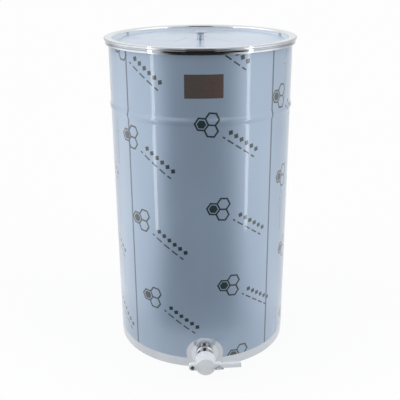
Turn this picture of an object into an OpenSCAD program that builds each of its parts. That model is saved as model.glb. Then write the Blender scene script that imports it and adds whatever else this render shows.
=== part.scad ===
// Honey settling tank: a rolled stainless steel drum with a drop-in lid and a plastic honey gate.
// Origin on the drum's axis at the standing plane, +Z up, the honey gate on the -Y side.
// The honey gate's pieces are drawn along their own axis: x to the right, y up, z out of the drum.

/* [Drum] */
// Outside diameter of the drum
tank_d = 470; // [380:1:560]
// Height of the drum to the top of its rolled rim
tank_h = 834; // [780:1:980]
// Thickness of the drum's sheet
sheet_t = 0.8; // [0.6:0.1:1.2]
// Half the depth of the rolled rim, and radius of its inner turn
rim_r = 4.4; // [3.6:0.1:6]
// Height of the rolled rim, with its flat outer face
rim_h = 10.2; // [8:0.1:12]
// Radius of the rolled rim's outer shoulder, which carries the lid
rim_shoulder_r = 2.2; // [2:0.1:3.4]
// Radius of the rolled rim's lower corner
rim_corner_r = 1.4; // [1.2:0.1:3]
// Slit left between the rolled rim's edge and the wall
rim_slit = 0.6; // [0.4:0.1:1.2]
// Distance from the top of the rim down to the swaged bead's middle
bead_drop = 165; // [150:1:260]
// Height of the swaged bead along the wall
bead_h = 20; // [14:1:30]
// How far the swaged bead stands out of the wall
bead_proud = 2.8; // [1.5:0.1:4]
// Width of the welded seam down the back
seam_w = 4; // [2:0.5:8]
// How far the welded seam stands out of the wall
seam_proud = 0.3; // [0.2:0.1:0.6]

/* [Drum floor] */
// Height of the floor's upper face
floor_z = 16; // [12:0.5:18]
// Thickness of the floor's sheet
floor_t = 1; // [0.8:0.1:1.5]
// Outer radius of the bend from floor to flange
floor_bend_r = 6; // [4:0.5:9]
// Room between the floor's flange and the wall it is welded to
floor_fit = 0.05; // [0.03:0.01:0.1]

/* [Protective film] */
// Thickness of the film
film_t = 0.25; // [0.2:0.05:0.4]
// Height of the film's trimmed lower edge
film_bottom = 26; // [20:1:40]
// Bare strip between the film's upper edge and the rolled rim
film_top_gap = 1.2; // [0.8:0.1:6]
// Radius of the round patch trimmed away around the outlet
film_patch_r = 48.7; // [40:0.1:60]
// Width of the strip trimmed away along the welded seam
film_seam_gap = 40; // [20:1:60]
// Room between the film and the sheet under it
film_fit = 0.05; // [0.03:0.01:0.1]

/* [Label] */
// Width of the sticker around the drum
label_w = 90; // [60:1:120]
// Height of the sticker
label_h = 55; // [40:1:70]
// Distance from the top of the rim down to the sticker's middle
label_drop = 81.5; // [60:0.5:95]
// Thickness of the sticker
label_t = 0.25; // [0.2:0.05:0.4]

/* [Lid] */
// Radius of the lid's curled edge
lid_curl_r = 2.9; // [2.4:0.1:3.4]
// How far the lid's edge reaches past the rolled rim
lid_overhang = 3; // [2:0.1:4.5]
// Thickness of the lid's sheet
lid_t = 0.8; // [0.6:0.1:1]
// Depth of the pressed pan below the brim
lid_depth = 12.5; // [10:0.5:16]
// Room between the pan's wall and the drum's inside
lid_pan_gap = 8.2; // [5:0.1:12]
// Radius of the bend from brim to pan wall
brim_bend_r = 4.5; // [3:0.1:5]
// Inner radius of the bend from pan wall to panel
panel_bend_r = 4; // [3:0.1:4.5]
// Gap between the lid's curl and the rolled rim that carries it
lid_seat_gap = 0.3; // [0.2:0.05:0.5]

/* [Lid knob] */
// Height of the knob above the lid
knob_h = 22; // [20:0.5:34]
// Diameter of the knob's flared top
knob_d = 33; // [28:0.5:40]
// Diameter of the knob's stem
knob_stem_d = 18; // [15:0.5:22]
// Height of the flare under the knob's top
knob_flare_h = 6.5; // [5:0.5:8]
// Thickness of the knob's edge
knob_edge = 1.6; // [1.2:0.1:2.4]
// Rise of the knob's crown in the middle
knob_crown = 1.4; // [0.8:0.1:2.4]
// Diameter of the screw that holds the knob
knob_screw_d = 6; // [5:0.5:8]
// Depth of the threaded hole in the knob
knob_hole_depth = 12; // [8:0.5:14]
// Gap between the screw's tip and the end of that hole
knob_tip_gap = 1; // [0.5:0.1:2]
// Diameter of the screw's head
knob_head_d = 10; // [9:0.5:14]
// Height of the screw's head
knob_head_h = 3.6; // [3:0.1:5]
// Diameter of the washer under the lid
knob_washer_d = 18; // [16:0.5:26]
// Thickness of the washer under the lid
knob_washer_t = 1.2; // [0.8:0.1:2]

/* [Outlet] */
// Height of the outlet's axis
outlet_z = 40; // [40:0.5:50]
// Outside diameter of the outlet stub
stub_d = 41.9; // [38:0.1:44]
// Inside diameter of the outlet stub
stub_bore_d = 35; // [28:0.1:35]
// Length of the stub out of the wall
stub_len = 50; // [46:0.5:60]
// Leg of the weld around the stub
weld_leg = 3.5; // [2:0.1:5]
// Room between the stub and the hole in the wall
stub_fit = 0.05; // [0.03:0.01:0.1]
// Thickness of the rubber ring between stub and gate
gasket_t = 2; // [1.5:0.1:3]

/* [Gate body] */
// Diameter of the threaded collar
collar_d = 53; // [50:0.5:58]
// Length of the thread inside the collar
socket_len = 24; // [16:0.5:28]
// Length of the collar's thicker ring
collar_ring_len = 17; // [10:0.5:20]
// Diameter of the neck between the collar and the seat
neck_d = 49.6; // [49:0.1:50]
// Rounding of the collar's edges
collar_round = 2.5; // [1:0.1:3]
// Wall between the rubber ring and the gate's seat
seat_wall = 5; // [4:0.1:7]
// Thickness of the ears that carry the bolts
ear_t = 8; // [6:0.1:10]
// Radius of the ears around the bolts
ear_r = 9.5; // [8:0.1:11]
// Distance of each bolt from the outlet's axis
bolt_x = 34.3; // [33:0.1:38]
// Room between stub and collar
socket_fit = 0.1; // [0.05:0.01:0.2]

/* [Gate plate] */
// Diameter of the plate's disc
plate_d = 49; // [46:0.1:50]
// Thickness of the plate
plate_t = 5; // [4:0.1:7]
// Rounding of the disc's front edge
plate_round = 1.2; // [0.5:0.1:2]
// Depth of the handle, from the plate's front face back
handle_depth = 10; // [8:0.1:12]
// Reach of the handle's tip from the outlet's axis
handle_reach = 91.5; // [80:0.5:110]
// Height of the handle, the same from the plate to its tip
handle_h = 12.6; // [8:0.1:16]
// Rounding of the two corners at the handle's tip
handle_corner_r = 2; // [1:0.1:4]
// Angle of the handle above the line through the bolts
handle_rise = 2; // [0:0.1:6]
// Running gap between the handle and the ear it swings past
handle_gap = 1.5; // [1:0.1:2]

/* [Gate fasteners] */
// Diameter of the two bolts
bolt_d = 5; // [4:0.1:5.5]
// Width across the flats of bolt heads and nut
hex_af = 8; // [7.5:0.1:10]
// Height of the bolt heads
head_h = 3.5; // [3:0.1:5]
// Diameter of the washers
washer_d = 10; // [9.5:0.1:12]
// Thickness of the washers
washer_t = 1; // [0.8:0.1:1.6]
// Height of the self-locking nut
nut_h = 5; // [4:0.1:7]
// Length of bolt that shows past its nut
bolt_proud = 1.5; // [1:0.1:3]
// Running gap between a bolt and the piece that turns on it
bolt_fit = 0.05; // [0.03:0.01:0.08]
// Gap on each side of the lock bolt in the plate's slot
slot_gap = 0.5; // [0.4:0.05:0.8]
// Span of the wing nut over its wings
wing_span = 24; // [22:0.5:28]
// Thickness of the wing nut's wings
wing_t = 2.2; // [1.6:0.1:3]
// Height of the wing nut over its wings
wing_h = 9.4; // [9:0.1:14]
// Radius of the round lobe on each wing
wing_lobe_r = 3.8; // [3:0.1:4.5]
// Share of the lobe's radius at which the wing's straight edges end inside it
wing_neck_share = 0.85; // [0.6:0.05:0.9]
// Height of the wings' lower edge over the nut's foot
wing_foot = 1; // [0.6:0.1:2]
// Diameter of the wing nut's hub at its foot
hub_d = 9.4; // [9:0.1:11]
// Diameter of the wing nut's hub at its top
hub_top_d = 7.8; // [7.2:0.1:8.8]
// Height of the wing nut's hub
hub_h = 6; // [5:0.1:8]

/* [Hidden] */
$fn = 128;

// Overrun of every cut past the face that it opens
overrun = 1;

steel = [0.80, 0.82, 0.84];
zinc = [0.58, 0.60, 0.62];
film_blue = [0.68, 0.76, 0.84];
film_pale = [0.82, 0.87, 0.92];
label_brown = [0.30, 0.27, 0.26];
plastic_white = [0.93, 0.94, 0.96];
rubber_black = [0.12, 0.12, 0.13];

// Drum
tank_r = tank_d / 2;
tank_in_r = tank_r - sheet_t;
rim_x = tank_in_r + rim_r;
rim_z = tank_h - rim_r;
shoulder_x = rim_x + rim_r - rim_shoulder_r;
shoulder_z = tank_h - rim_shoulder_r;
corner_x = rim_x + rim_r - rim_corner_r;
corner_z = tank_h - rim_h + rim_corner_r;
bead_z = tank_h - bead_drop;
label_z = tank_h - label_drop;
bead_arc_r = (pow(bead_h / 2, 2) + pow(bead_proud, 2)) / (2 * bead_proud);
bead_x = tank_r + bead_proud - bead_arc_r;
film_top = tank_h - rim_h - film_top_gap;
floor_r = tank_in_r - floor_fit;
label_r = tank_r + 2 * film_fit + film_t;

// Lid: its curl sits on the outer shoulder of the rolled rim
lid_r = rim_x + rim_r + lid_overhang;
curl_x = lid_r - lid_curl_r;
curl_reach = rim_shoulder_r + lid_curl_r + lid_seat_gap;
curl_z = shoulder_z + sqrt(pow(curl_reach, 2) - pow(curl_x - shoulder_x, 2));
brim_z = curl_z + lid_curl_r;
panel_z = brim_z - lid_depth;
pan_r = tank_in_r - lid_pan_gap - lid_t;

// Knob
knob_z = panel_z + film_fit + film_t;
knob_r = knob_d / 2;
knob_stem_r = knob_stem_d / 2;
knob_screw_r = knob_screw_d / 2;
knob_hole_r = knob_screw_r + bolt_fit;
flare_z = knob_h - knob_crown - knob_edge - knob_flare_h;
crown_arc_r = (pow(knob_r, 2) + pow(knob_crown, 2)) / (2 * knob_crown);
knob_under_z = panel_z - lid_t;

// Outlet and gate, as distances out of the drum's wall
stub_r = stub_d / 2;
bore_r = stub_bore_d / 2;
socket_end = stub_len + gasket_t;
collar_start = socket_end - gasket_t - socket_len;
seat = socket_end + seat_wall;
plate_front = seat + plate_t;
washer_front = plate_front + washer_t;
ear_back = seat - ear_t;
head_face = ear_back - washer_t;
collar_r = collar_d / 2;
neck_r = neck_d / 2;
plate_r = plate_d / 2;
bolt_r = bolt_d / 2;
bolt_hole_r = bolt_r + bolt_fit;
bolt_span = 2 * bolt_x;
hex_r = hex_af / 2 / cos(30);
handle_start_r = bolt_span + ear_r + handle_gap;
handle_half_h = handle_h / 2;
handle_tip_x = bolt_x + handle_reach;
lock_bolt_end = washer_front + hub_h + bolt_proud;
pivot_bolt_end = washer_front + nut_h + bolt_proud;

// Puts a piece of the honey gate on the outlet's axis
module at_outlet() {
    translate([0, -tank_r, outlet_z])
        rotate([90, 0, 0])
            children();
}

// A ring of round section cut down to one quarter, turned to face the given way
module quarter_bend(outer_r, inner_r, turn) {
    rotate(turn)
        intersection() {
            difference() {
                circle(outer_r);
                circle(inner_r);
            }
            square(outer_r);
        }
}

// A flat ring around the local axis
module flat_ring(outer_r, inner_r, height) {
    difference() {
        cylinder(r = outer_r, h = height);
        translate([0, 0, -overrun])
            cylinder(r = inner_r, h = height + 2 * overrun);
    }
}

// A bolt with a six-sided head that lies on the plane z = 0 and a shank that goes up from it
module hex_bolt(shank_len) {
    translate([0, 0, -head_h])
        cylinder(r = hex_r, h = head_h, $fn = 6);
    cylinder(r = bolt_r, h = shank_len);
}

// Half section of the drum from its axis to the wall, with the swaged bead
module drum_section(grow, low, high) {
    translate([0, low])
        square([tank_r + grow, high - low]);
    translate([bead_x, bead_z])
        circle(bead_arc_r + grow);
}

// Half section of a layer of the wall
module wall_section(inner, outer, low, high) {
    difference() {
        drum_section(outer, low, high);
        drum_section(inner, low - overrun, high + overrun);
    }
}

// Half section of the rim, rolled outwards and back to the wall, flat on its outer face
module rim_section() {
    translate([rim_x, rim_z])
        quarter_bend(rim_r, rim_r - sheet_t, 90);
    translate([rim_x, tank_h - sheet_t])
        square([shoulder_x - rim_x, sheet_t]);
    translate([shoulder_x, shoulder_z])
        quarter_bend(rim_shoulder_r, rim_shoulder_r - sheet_t, 0);
    translate([rim_x + rim_r - sheet_t, corner_z])
        square([sheet_t, shoulder_z - corner_z]);
    translate([corner_x, corner_z])
        quarter_bend(rim_corner_r, rim_corner_r - sheet_t, -90);
    translate([tank_r + rim_slit, tank_h - rim_h])
        square([corner_x - tank_r - rim_slit, sheet_t]);
}

// Drum of rolled sheet: swaged bead, rolled rim, welded seam and the hole for the outlet
module tank_shell() {
    color(steel)
        difference() {
            union() {
                rotate_extrude() {
                    wall_section(-sheet_t, 0, 0, rim_z);
                    rim_section();
                }
                intersection() {
                    rotate_extrude()
                        wall_section(-sheet_t / 2, seam_proud, 0, film_top);
                    translate([-seam_w / 2, 0, 0])
                        cube([seam_w, tank_d, tank_h]);
                }
            }
            at_outlet()
                translate([0, 0, -tank_r / 2])
                    cylinder(r = stub_r + stub_fit, h = tank_r);
        }
}

// Floor pressed with a flange that turns down inside the wall
module tank_floor() {
    color(steel)
        rotate_extrude() {
            translate([0, floor_z - floor_t])
                square([floor_r - floor_bend_r, floor_t]);
            translate([floor_r - floor_bend_r, floor_z - floor_bend_r])
                quarter_bend(floor_bend_r, floor_bend_r - floor_t, 0);
            translate([floor_r - floor_t, 0])
                square([floor_t, floor_z - floor_bend_r]);
        }
}

// Protective film on the wall, trimmed around the outlet and along the seam
module body_film() {
    color(film_blue)
        difference() {
            rotate_extrude()
                wall_section(film_fit, film_fit + film_t, film_bottom, film_top);
            at_outlet()
                translate([0, 0, -tank_r / 2])
                    cylinder(r = film_patch_r, h = tank_r);
            translate([-film_seam_gap / 2, 0, 0])
                cube([film_seam_gap, tank_d, tank_h]);
        }
}

// Plain sticker on the film below the rim
module label_sticker() {
    color(label_brown)
        intersection() {
            translate([0, 0, label_z - label_h / 2])
                flat_ring(label_r + label_t, label_r, label_h);
            translate([-label_w / 2, -tank_d, 0])
                cube([label_w, tank_d, tank_h]);
        }
}

// Threaded steel stub, trimmed to the drum's inside and welded around its outside
module outlet_stub() {
    color(steel)
        difference() {
            union() {
                difference() {
                    at_outlet()
                        translate([0, 0, -stub_r])
                            cylinder(r = stub_r, h = stub_r + stub_len);
                    cylinder(r = tank_in_r, h = tank_h);
                }
                difference() {
                    at_outlet()
                        translate([0, 0, -weld_leg])
                            cylinder(r1 = stub_r + 2 * weld_leg, r2 = stub_r, h = 2 * weld_leg);
                    cylinder(r = tank_r + stub_fit, h = tank_h);
                }
            }
            at_outlet()
                translate([0, 0, -tank_r / 2])
                    cylinder(r = bore_r, h = tank_r);
        }
}

// Rubber ring between the stub's end and the gate body
module outlet_gasket() {
    color(rubber_black)
        at_outlet()
            translate([0, 0, stub_len])
                flat_ring(stub_r, bore_r, gasket_t);
}

// Half section of the gate body: collar ring with rounded edges, then the neck to the seat
module collar_section() {
    ring_end = collar_start + collar_ring_len;
    translate([0, collar_start])
        square([collar_r - collar_round, collar_ring_len]);
    translate([0, collar_start + collar_round])
        square([collar_r, collar_ring_len - 2 * collar_round]);
    for (edge = [collar_start + collar_round, ring_end - collar_round])
        translate([collar_r - collar_round, edge])
            circle(collar_round);
    translate([0, collar_start + collar_round])
        square([neck_r, seat - collar_start - collar_round]);
}

// Outline of a bar with round ends that carries the two bolts
module ear_bar() {
    square([bolt_span, 2 * ear_r], center = true);
    for (side = [-1, 1])
        translate([side * bolt_x, 0])
            circle(ear_r);
}

// Moulded gate body: threaded collar, seat face and two ears
module gate_body() {
    color(plastic_white)
        at_outlet()
            difference() {
                union() {
                    rotate_extrude()
                        collar_section();
                    translate([0, 0, ear_back])
                        linear_extrude(ear_t)
                            ear_bar();
                }
                translate([0, 0, collar_start - overrun])
                    cylinder(r = stub_r + socket_fit, h = socket_end - collar_start + overrun);
                translate([0, 0, collar_start])
                    cylinder(r = bore_r, h = seat - collar_start + overrun);
                for (side = [-1, 1])
                    translate([side * bolt_x, 0, ear_back - overrun])
                        cylinder(r = bolt_hole_r, h = ear_t + 2 * overrun);
            }
}

// Outline of the handle, drawn from the pivot along x: a straight bar with two rounded corners
module handle_outline() {
    corner_x = handle_tip_x - handle_corner_r;
    corner_y = handle_half_h - handle_corner_r;
    translate([bolt_span, -handle_half_h])
        square([corner_x - bolt_span, handle_h]);
    translate([bolt_span, -corner_y])
        square([handle_tip_x - bolt_span, 2 * corner_y]);
    for (side = [-1, 1])
        translate([corner_x, side * corner_y])
            circle(handle_corner_r);
}

// Arc slot around the pivot that lets the plate lift off the lock bolt
module lock_slot() {
    half_width = bolt_r + slot_gap;
    translate([bolt_span, 0])
        circle(half_width);
    intersection() {
        difference() {
            circle(bolt_span + half_width);
            circle(bolt_span - half_width);
        }
        translate([0, -bolt_span])
            square([2 * bolt_span, bolt_span]);
    }
}

// Half section of the plate's disc, rounded along its front edge
module plate_section() {
    square([plate_r, plate_t - plate_round]);
    square([plate_r - plate_round, plate_t]);
    translate([plate_r - plate_round, plate_t - plate_round])
        circle(plate_round);
}

// Gate plate: sealing disc, pivot lug, hooked lock lug and handle in one moulding
module gate_plate() {
    color(plastic_white)
        at_outlet()
            translate([-bolt_x, 0, 0])
                difference() {
                    union() {
                        translate([bolt_x, 0, seat])
                            rotate_extrude()
                                plate_section();
                        translate([bolt_x, 0, seat])
                            linear_extrude(plate_t)
                                ear_bar();
                        difference() {
                            translate([0, 0, plate_front - handle_depth])
                                linear_extrude(handle_depth)
                                    rotate(handle_rise)
                                        handle_outline();
                            translate([0, 0, seat - handle_depth])
                                cylinder(r = handle_start_r, h = handle_depth);
                        }
                    }
                    translate([0, 0, seat - overrun])
                        cylinder(r = bolt_hole_r, h = plate_t + 2 * overrun);
                    translate([0, 0, seat - overrun])
                        linear_extrude(plate_t + 2 * overrun)
                            lock_slot();
                }
}

// Bolt that the gate plate turns on
module pivot_bolt() {
    color(zinc)
        at_outlet()
            translate([-bolt_x, 0, head_face])
                hex_bolt(pivot_bolt_end - head_face);
}

// Washer between the gate plate and the pivot nut
module pivot_washer() {
    color(zinc)
        at_outlet()
            translate([-bolt_x, 0, plate_front])
                flat_ring(washer_d / 2, bolt_hole_r, washer_t);
}

// Self-locking nut: six flats below, a round collar above
module pivot_nut() {
    hex_share = 0.7;
    color(zinc)
        at_outlet()
            translate([-bolt_x, 0, washer_front])
                difference() {
                    union() {
                        cylinder(r = hex_r, h = nut_h * hex_share, $fn = 6);
                        cylinder(r = hex_af / 2, h = nut_h);
                    }
                    translate([0, 0, -overrun])
                        cylinder(r = bolt_hole_r, h = nut_h + 2 * overrun);
                }
}

// Bolt that the wing nut clamps the plate with
module lock_bolt() {
    color(zinc)
        at_outlet()
            translate([bolt_x, 0, head_face])
                hex_bolt(lock_bolt_end - head_face);
}

// Washers between the ears and the bolt heads behind them
module head_washers() {
    color(zinc)
        at_outlet()
            for (side = [-1, 1])
                translate([side * bolt_x, 0, head_face])
                    flat_ring(washer_d / 2, bolt_hole_r, washer_t);
}

// Washer under the wing nut
module lock_washer() {
    color(zinc)
        at_outlet()
            translate([bolt_x, 0, plate_front])
                flat_ring(washer_d / 2, bolt_hole_r, washer_t);
}

// Outline of both wings, seen along their flat side
module wing_outline() {
    lobe_x = wing_span / 2 - wing_lobe_r;
    lobe_z = wing_h - wing_lobe_r;
    neck_r = wing_lobe_r * wing_neck_share;
    for (side = [-1, 1])
        mirror([side < 0 ? 1 : 0, 0]) {
            translate([lobe_x, lobe_z])
                circle(wing_lobe_r);
            polygon([
                [0, wing_foot],
                [hub_d / 2, wing_foot],
                [lobe_x + neck_r * cos(-30), lobe_z + neck_r * sin(-30)],
                [lobe_x + neck_r * cos(150), lobe_z + neck_r * sin(150)],
                [0, hub_h - wing_foot],
            ]);
        }
}

// Wing nut: a coned hub with two wings
module wing_nut() {
    color(zinc)
        at_outlet()
            translate([bolt_x, 0, washer_front])
                difference() {
                    union() {
                        cylinder(r1 = hub_d / 2, r2 = hub_top_d / 2, h = hub_h);
                        rotate([90, 0, 0])
                            translate([0, 0, -wing_t / 2])
                                linear_extrude(wing_t)
                                    wing_outline();
                    }
                    translate([0, 0, -overrun])
                        cylinder(r = bolt_hole_r, h = wing_h + 2 * overrun);
                }
}

// Half section of a layer of the lid, between two heights over its upper face
module lid_section(under, over, edge_x, hole_r) {
    bend_x = pan_r + brim_bend_r;
    foot_x = pan_r - panel_bend_r;
    translate([bend_x, brim_z + under])
        square([edge_x - bend_x, over - under]);
    translate([bend_x, brim_z - brim_bend_r])
        quarter_bend(brim_bend_r + over, brim_bend_r + under, 90);
    translate([pan_r - over, panel_z + panel_bend_r])
        square([over - under, lid_depth - brim_bend_r - panel_bend_r]);
    translate([foot_x, panel_z + panel_bend_r])
        quarter_bend(panel_bend_r - under, panel_bend_r - over, -90);
    translate([hole_r, panel_z + under])
        square([foot_x - hole_r, over - under]);
}

// Half section of the lid's edge, curled under the brim
module curl_section() {
    translate([curl_x, curl_z])
        difference() {
            circle(lid_curl_r);
            circle(lid_curl_r - lid_t);
            translate([-lid_curl_r - overrun, 0])
                square(lid_curl_r + overrun);
        }
}

// Pressed lid: brim with a curled edge, pan and flat panel
module lid_pan() {
    color(steel)
        rotate_extrude() {
            lid_section(-lid_t, 0, curl_x, knob_hole_r);
            curl_section();
        }
}

// Protective film on the lid's upper face
module lid_film() {
    color(film_pale)
        rotate_extrude()
            lid_section(film_fit, film_fit + film_t, curl_x, knob_hole_r);
}

// Points along an arc in the half section of a turned piece
function arc_points(x, z, r, from, to, steps) =
    [for (i = [0:steps]) let (a = from + (to - from) * i / steps) [x + r * cos(a), z + r * sin(a)]];

// Turned knob: straight stem, flare and a crowned top
module lid_knob() {
    flare_steps = 8;
    crown_steps = 6;
    crown_half = asin(knob_r / crown_arc_r);
    color(steel)
        translate([0, 0, knob_z])
            difference() {
                rotate_extrude()
                    polygon(concat(
                        [[0, 0], [knob_stem_r, 0]],
                        arc_points(knob_stem_r + knob_flare_h, flare_z, knob_flare_h, 180, 90, flare_steps),
                        [[knob_r, flare_z + knob_flare_h]],
                        arc_points(0, knob_h - crown_arc_r, crown_arc_r, 90 - crown_half, 90, crown_steps)
                    ));
                translate([0, 0, -overrun])
                    cylinder(r = knob_hole_r, h = knob_hole_depth + overrun);
            }
}

// Washer that spreads the knob screw's pull under the lid
module knob_washer() {
    color(zinc)
        translate([0, 0, knob_under_z - knob_washer_t])
            flat_ring(knob_washer_d / 2, knob_hole_r, knob_washer_t);
}

// Screw that holds the knob from below
module knob_screw() {
    head_z = knob_under_z - knob_washer_t;
    tip_z = knob_z + knob_hole_depth - knob_tip_gap;
    color(zinc) {
        translate([0, 0, head_z - knob_head_h])
            cylinder(r1 = knob_head_d / 2 - knob_head_h / 2, r2 = knob_head_d / 2, h = knob_head_h);
        translate([0, 0, head_z])
            cylinder(r = knob_screw_r, h = tip_z - head_z);
    }
}

tank_shell();
tank_floor();
body_film();
label_sticker();
outlet_stub();
outlet_gasket();
gate_body();
gate_plate();
pivot_bolt();
pivot_washer();
pivot_nut();
lock_bolt();
lock_washer();
wing_nut();
head_washers();
lid_pan();
lid_film();
lid_knob();
knob_washer();
knob_screw();
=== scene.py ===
"""Honey settling tank: a film-covered steel drum with a drop-in lid and a white honey gate.

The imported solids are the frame. The pieces that show are modelled over them in metres, dressed in
steel, protective film, white plastic and paper, and set in a white studio.
"""

import logging
import math
from dataclasses import dataclass
from enum import Enum
from functools import reduce
from itertools import pairwise
from typing import Any, Sequence

import bpy
from mathutils import Matrix, Vector


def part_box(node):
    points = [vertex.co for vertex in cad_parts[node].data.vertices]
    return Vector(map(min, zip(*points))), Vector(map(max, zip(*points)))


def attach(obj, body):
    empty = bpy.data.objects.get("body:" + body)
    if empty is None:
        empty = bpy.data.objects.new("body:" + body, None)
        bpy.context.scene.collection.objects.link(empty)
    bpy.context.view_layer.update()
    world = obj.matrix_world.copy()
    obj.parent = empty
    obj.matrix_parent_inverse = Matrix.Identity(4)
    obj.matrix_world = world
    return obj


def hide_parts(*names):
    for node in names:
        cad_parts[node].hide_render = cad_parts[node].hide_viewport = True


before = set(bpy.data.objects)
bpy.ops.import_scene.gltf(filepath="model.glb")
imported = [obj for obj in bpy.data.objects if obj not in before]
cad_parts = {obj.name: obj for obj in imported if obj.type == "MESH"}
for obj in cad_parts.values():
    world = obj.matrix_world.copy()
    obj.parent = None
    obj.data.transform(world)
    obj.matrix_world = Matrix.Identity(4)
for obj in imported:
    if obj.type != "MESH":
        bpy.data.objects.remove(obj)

MM = 0.001
FULL_TURN = math.tau
QUARTER_TURN = math.pi / 2
# Tidying distance under which two vertices are one
WELD_GAP = 0.001 * MM
# Angle past which two faces meet in a sharp edge
SHARP_EDGE = math.radians(35)
# How far a cutting shape runs past what it cuts
CUT_PAST = 1 * MM

Point = tuple[float, float]
Span = tuple[float, float]
Outline = list[Point]
Size = tuple[float, float, float]
Colour = tuple[float, float, float]
BLACK: Colour = (0.0, 0.0, 0.0)
WHITE: Colour = (1.0, 1.0, 1.0)
log = logging.getLogger("honey_tank")


class Body(Enum):
    """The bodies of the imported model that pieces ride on."""

    TANK = "tank"
    GATE = "gate"
    WASHER = "nut_washer"
    NUT = "nut"
    LID = "lid"


class Slot(Enum):
    """The record's material slots."""

    STAINLESS = "stainless"
    POLISHED = "polished_steel"
    FILM = "film"
    LID_FILM = "lid_film"
    STICKER = "sticker"
    PLASTIC = "white_plastic"
    ZINC = "zinc"


class Join(Enum):
    """How one piece is worked into another."""

    ADD = "UNION"
    CUT = "DIFFERENCE"
    SHARE = "INTERSECT"


def arc(centre: Point, radius: float, start: float, end: float, steps: int = 12) -> Outline:
    """Gives the points along an arc.

    Args:
        centre: Middle of the arc.
        radius: Radius of the arc.
        start: Angle of the first point, in degrees from the first axis.
        end: Angle of the last point, in degrees.
        steps: Number of straight stretches.

    Returns:
        The points, both ends included.
    """
    x, y = centre
    angles = [math.radians(start + (end - start) * i / steps) for i in range(steps + 1)]
    return [(x + radius * math.cos(angle), y + radius * math.sin(angle)) for angle in angles]


def srgb(red: int, green: int, blue: int) -> Colour:
    """Turns a colour as a screen shows it into the linear colour that a shader takes.

    Args:
        red: Red from 0 to 255.
        green: Green from 0 to 255.
        blue: Blue from 0 to 255.

    Returns:
        The linear colour.
    """
    knee, slope, lift, power = 0.04045, 12.92, 0.055, 2.4
    shares = [value / 255 for value in (red, green, blue)]
    linear = [part / slope if part <= knee else ((part + lift) / (1 + lift)) ** power for part in shares]
    return tuple(linear)


def toned(colour: Colour, share: float) -> Colour:
    """Makes a colour darker, or paler up to white.

    Args:
        colour: Linear colour.
        share: What each of its parts is multiplied by.

    Returns:
        The new colour.
    """
    return tuple(min(1.0, share * part) for part in colour)


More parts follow.
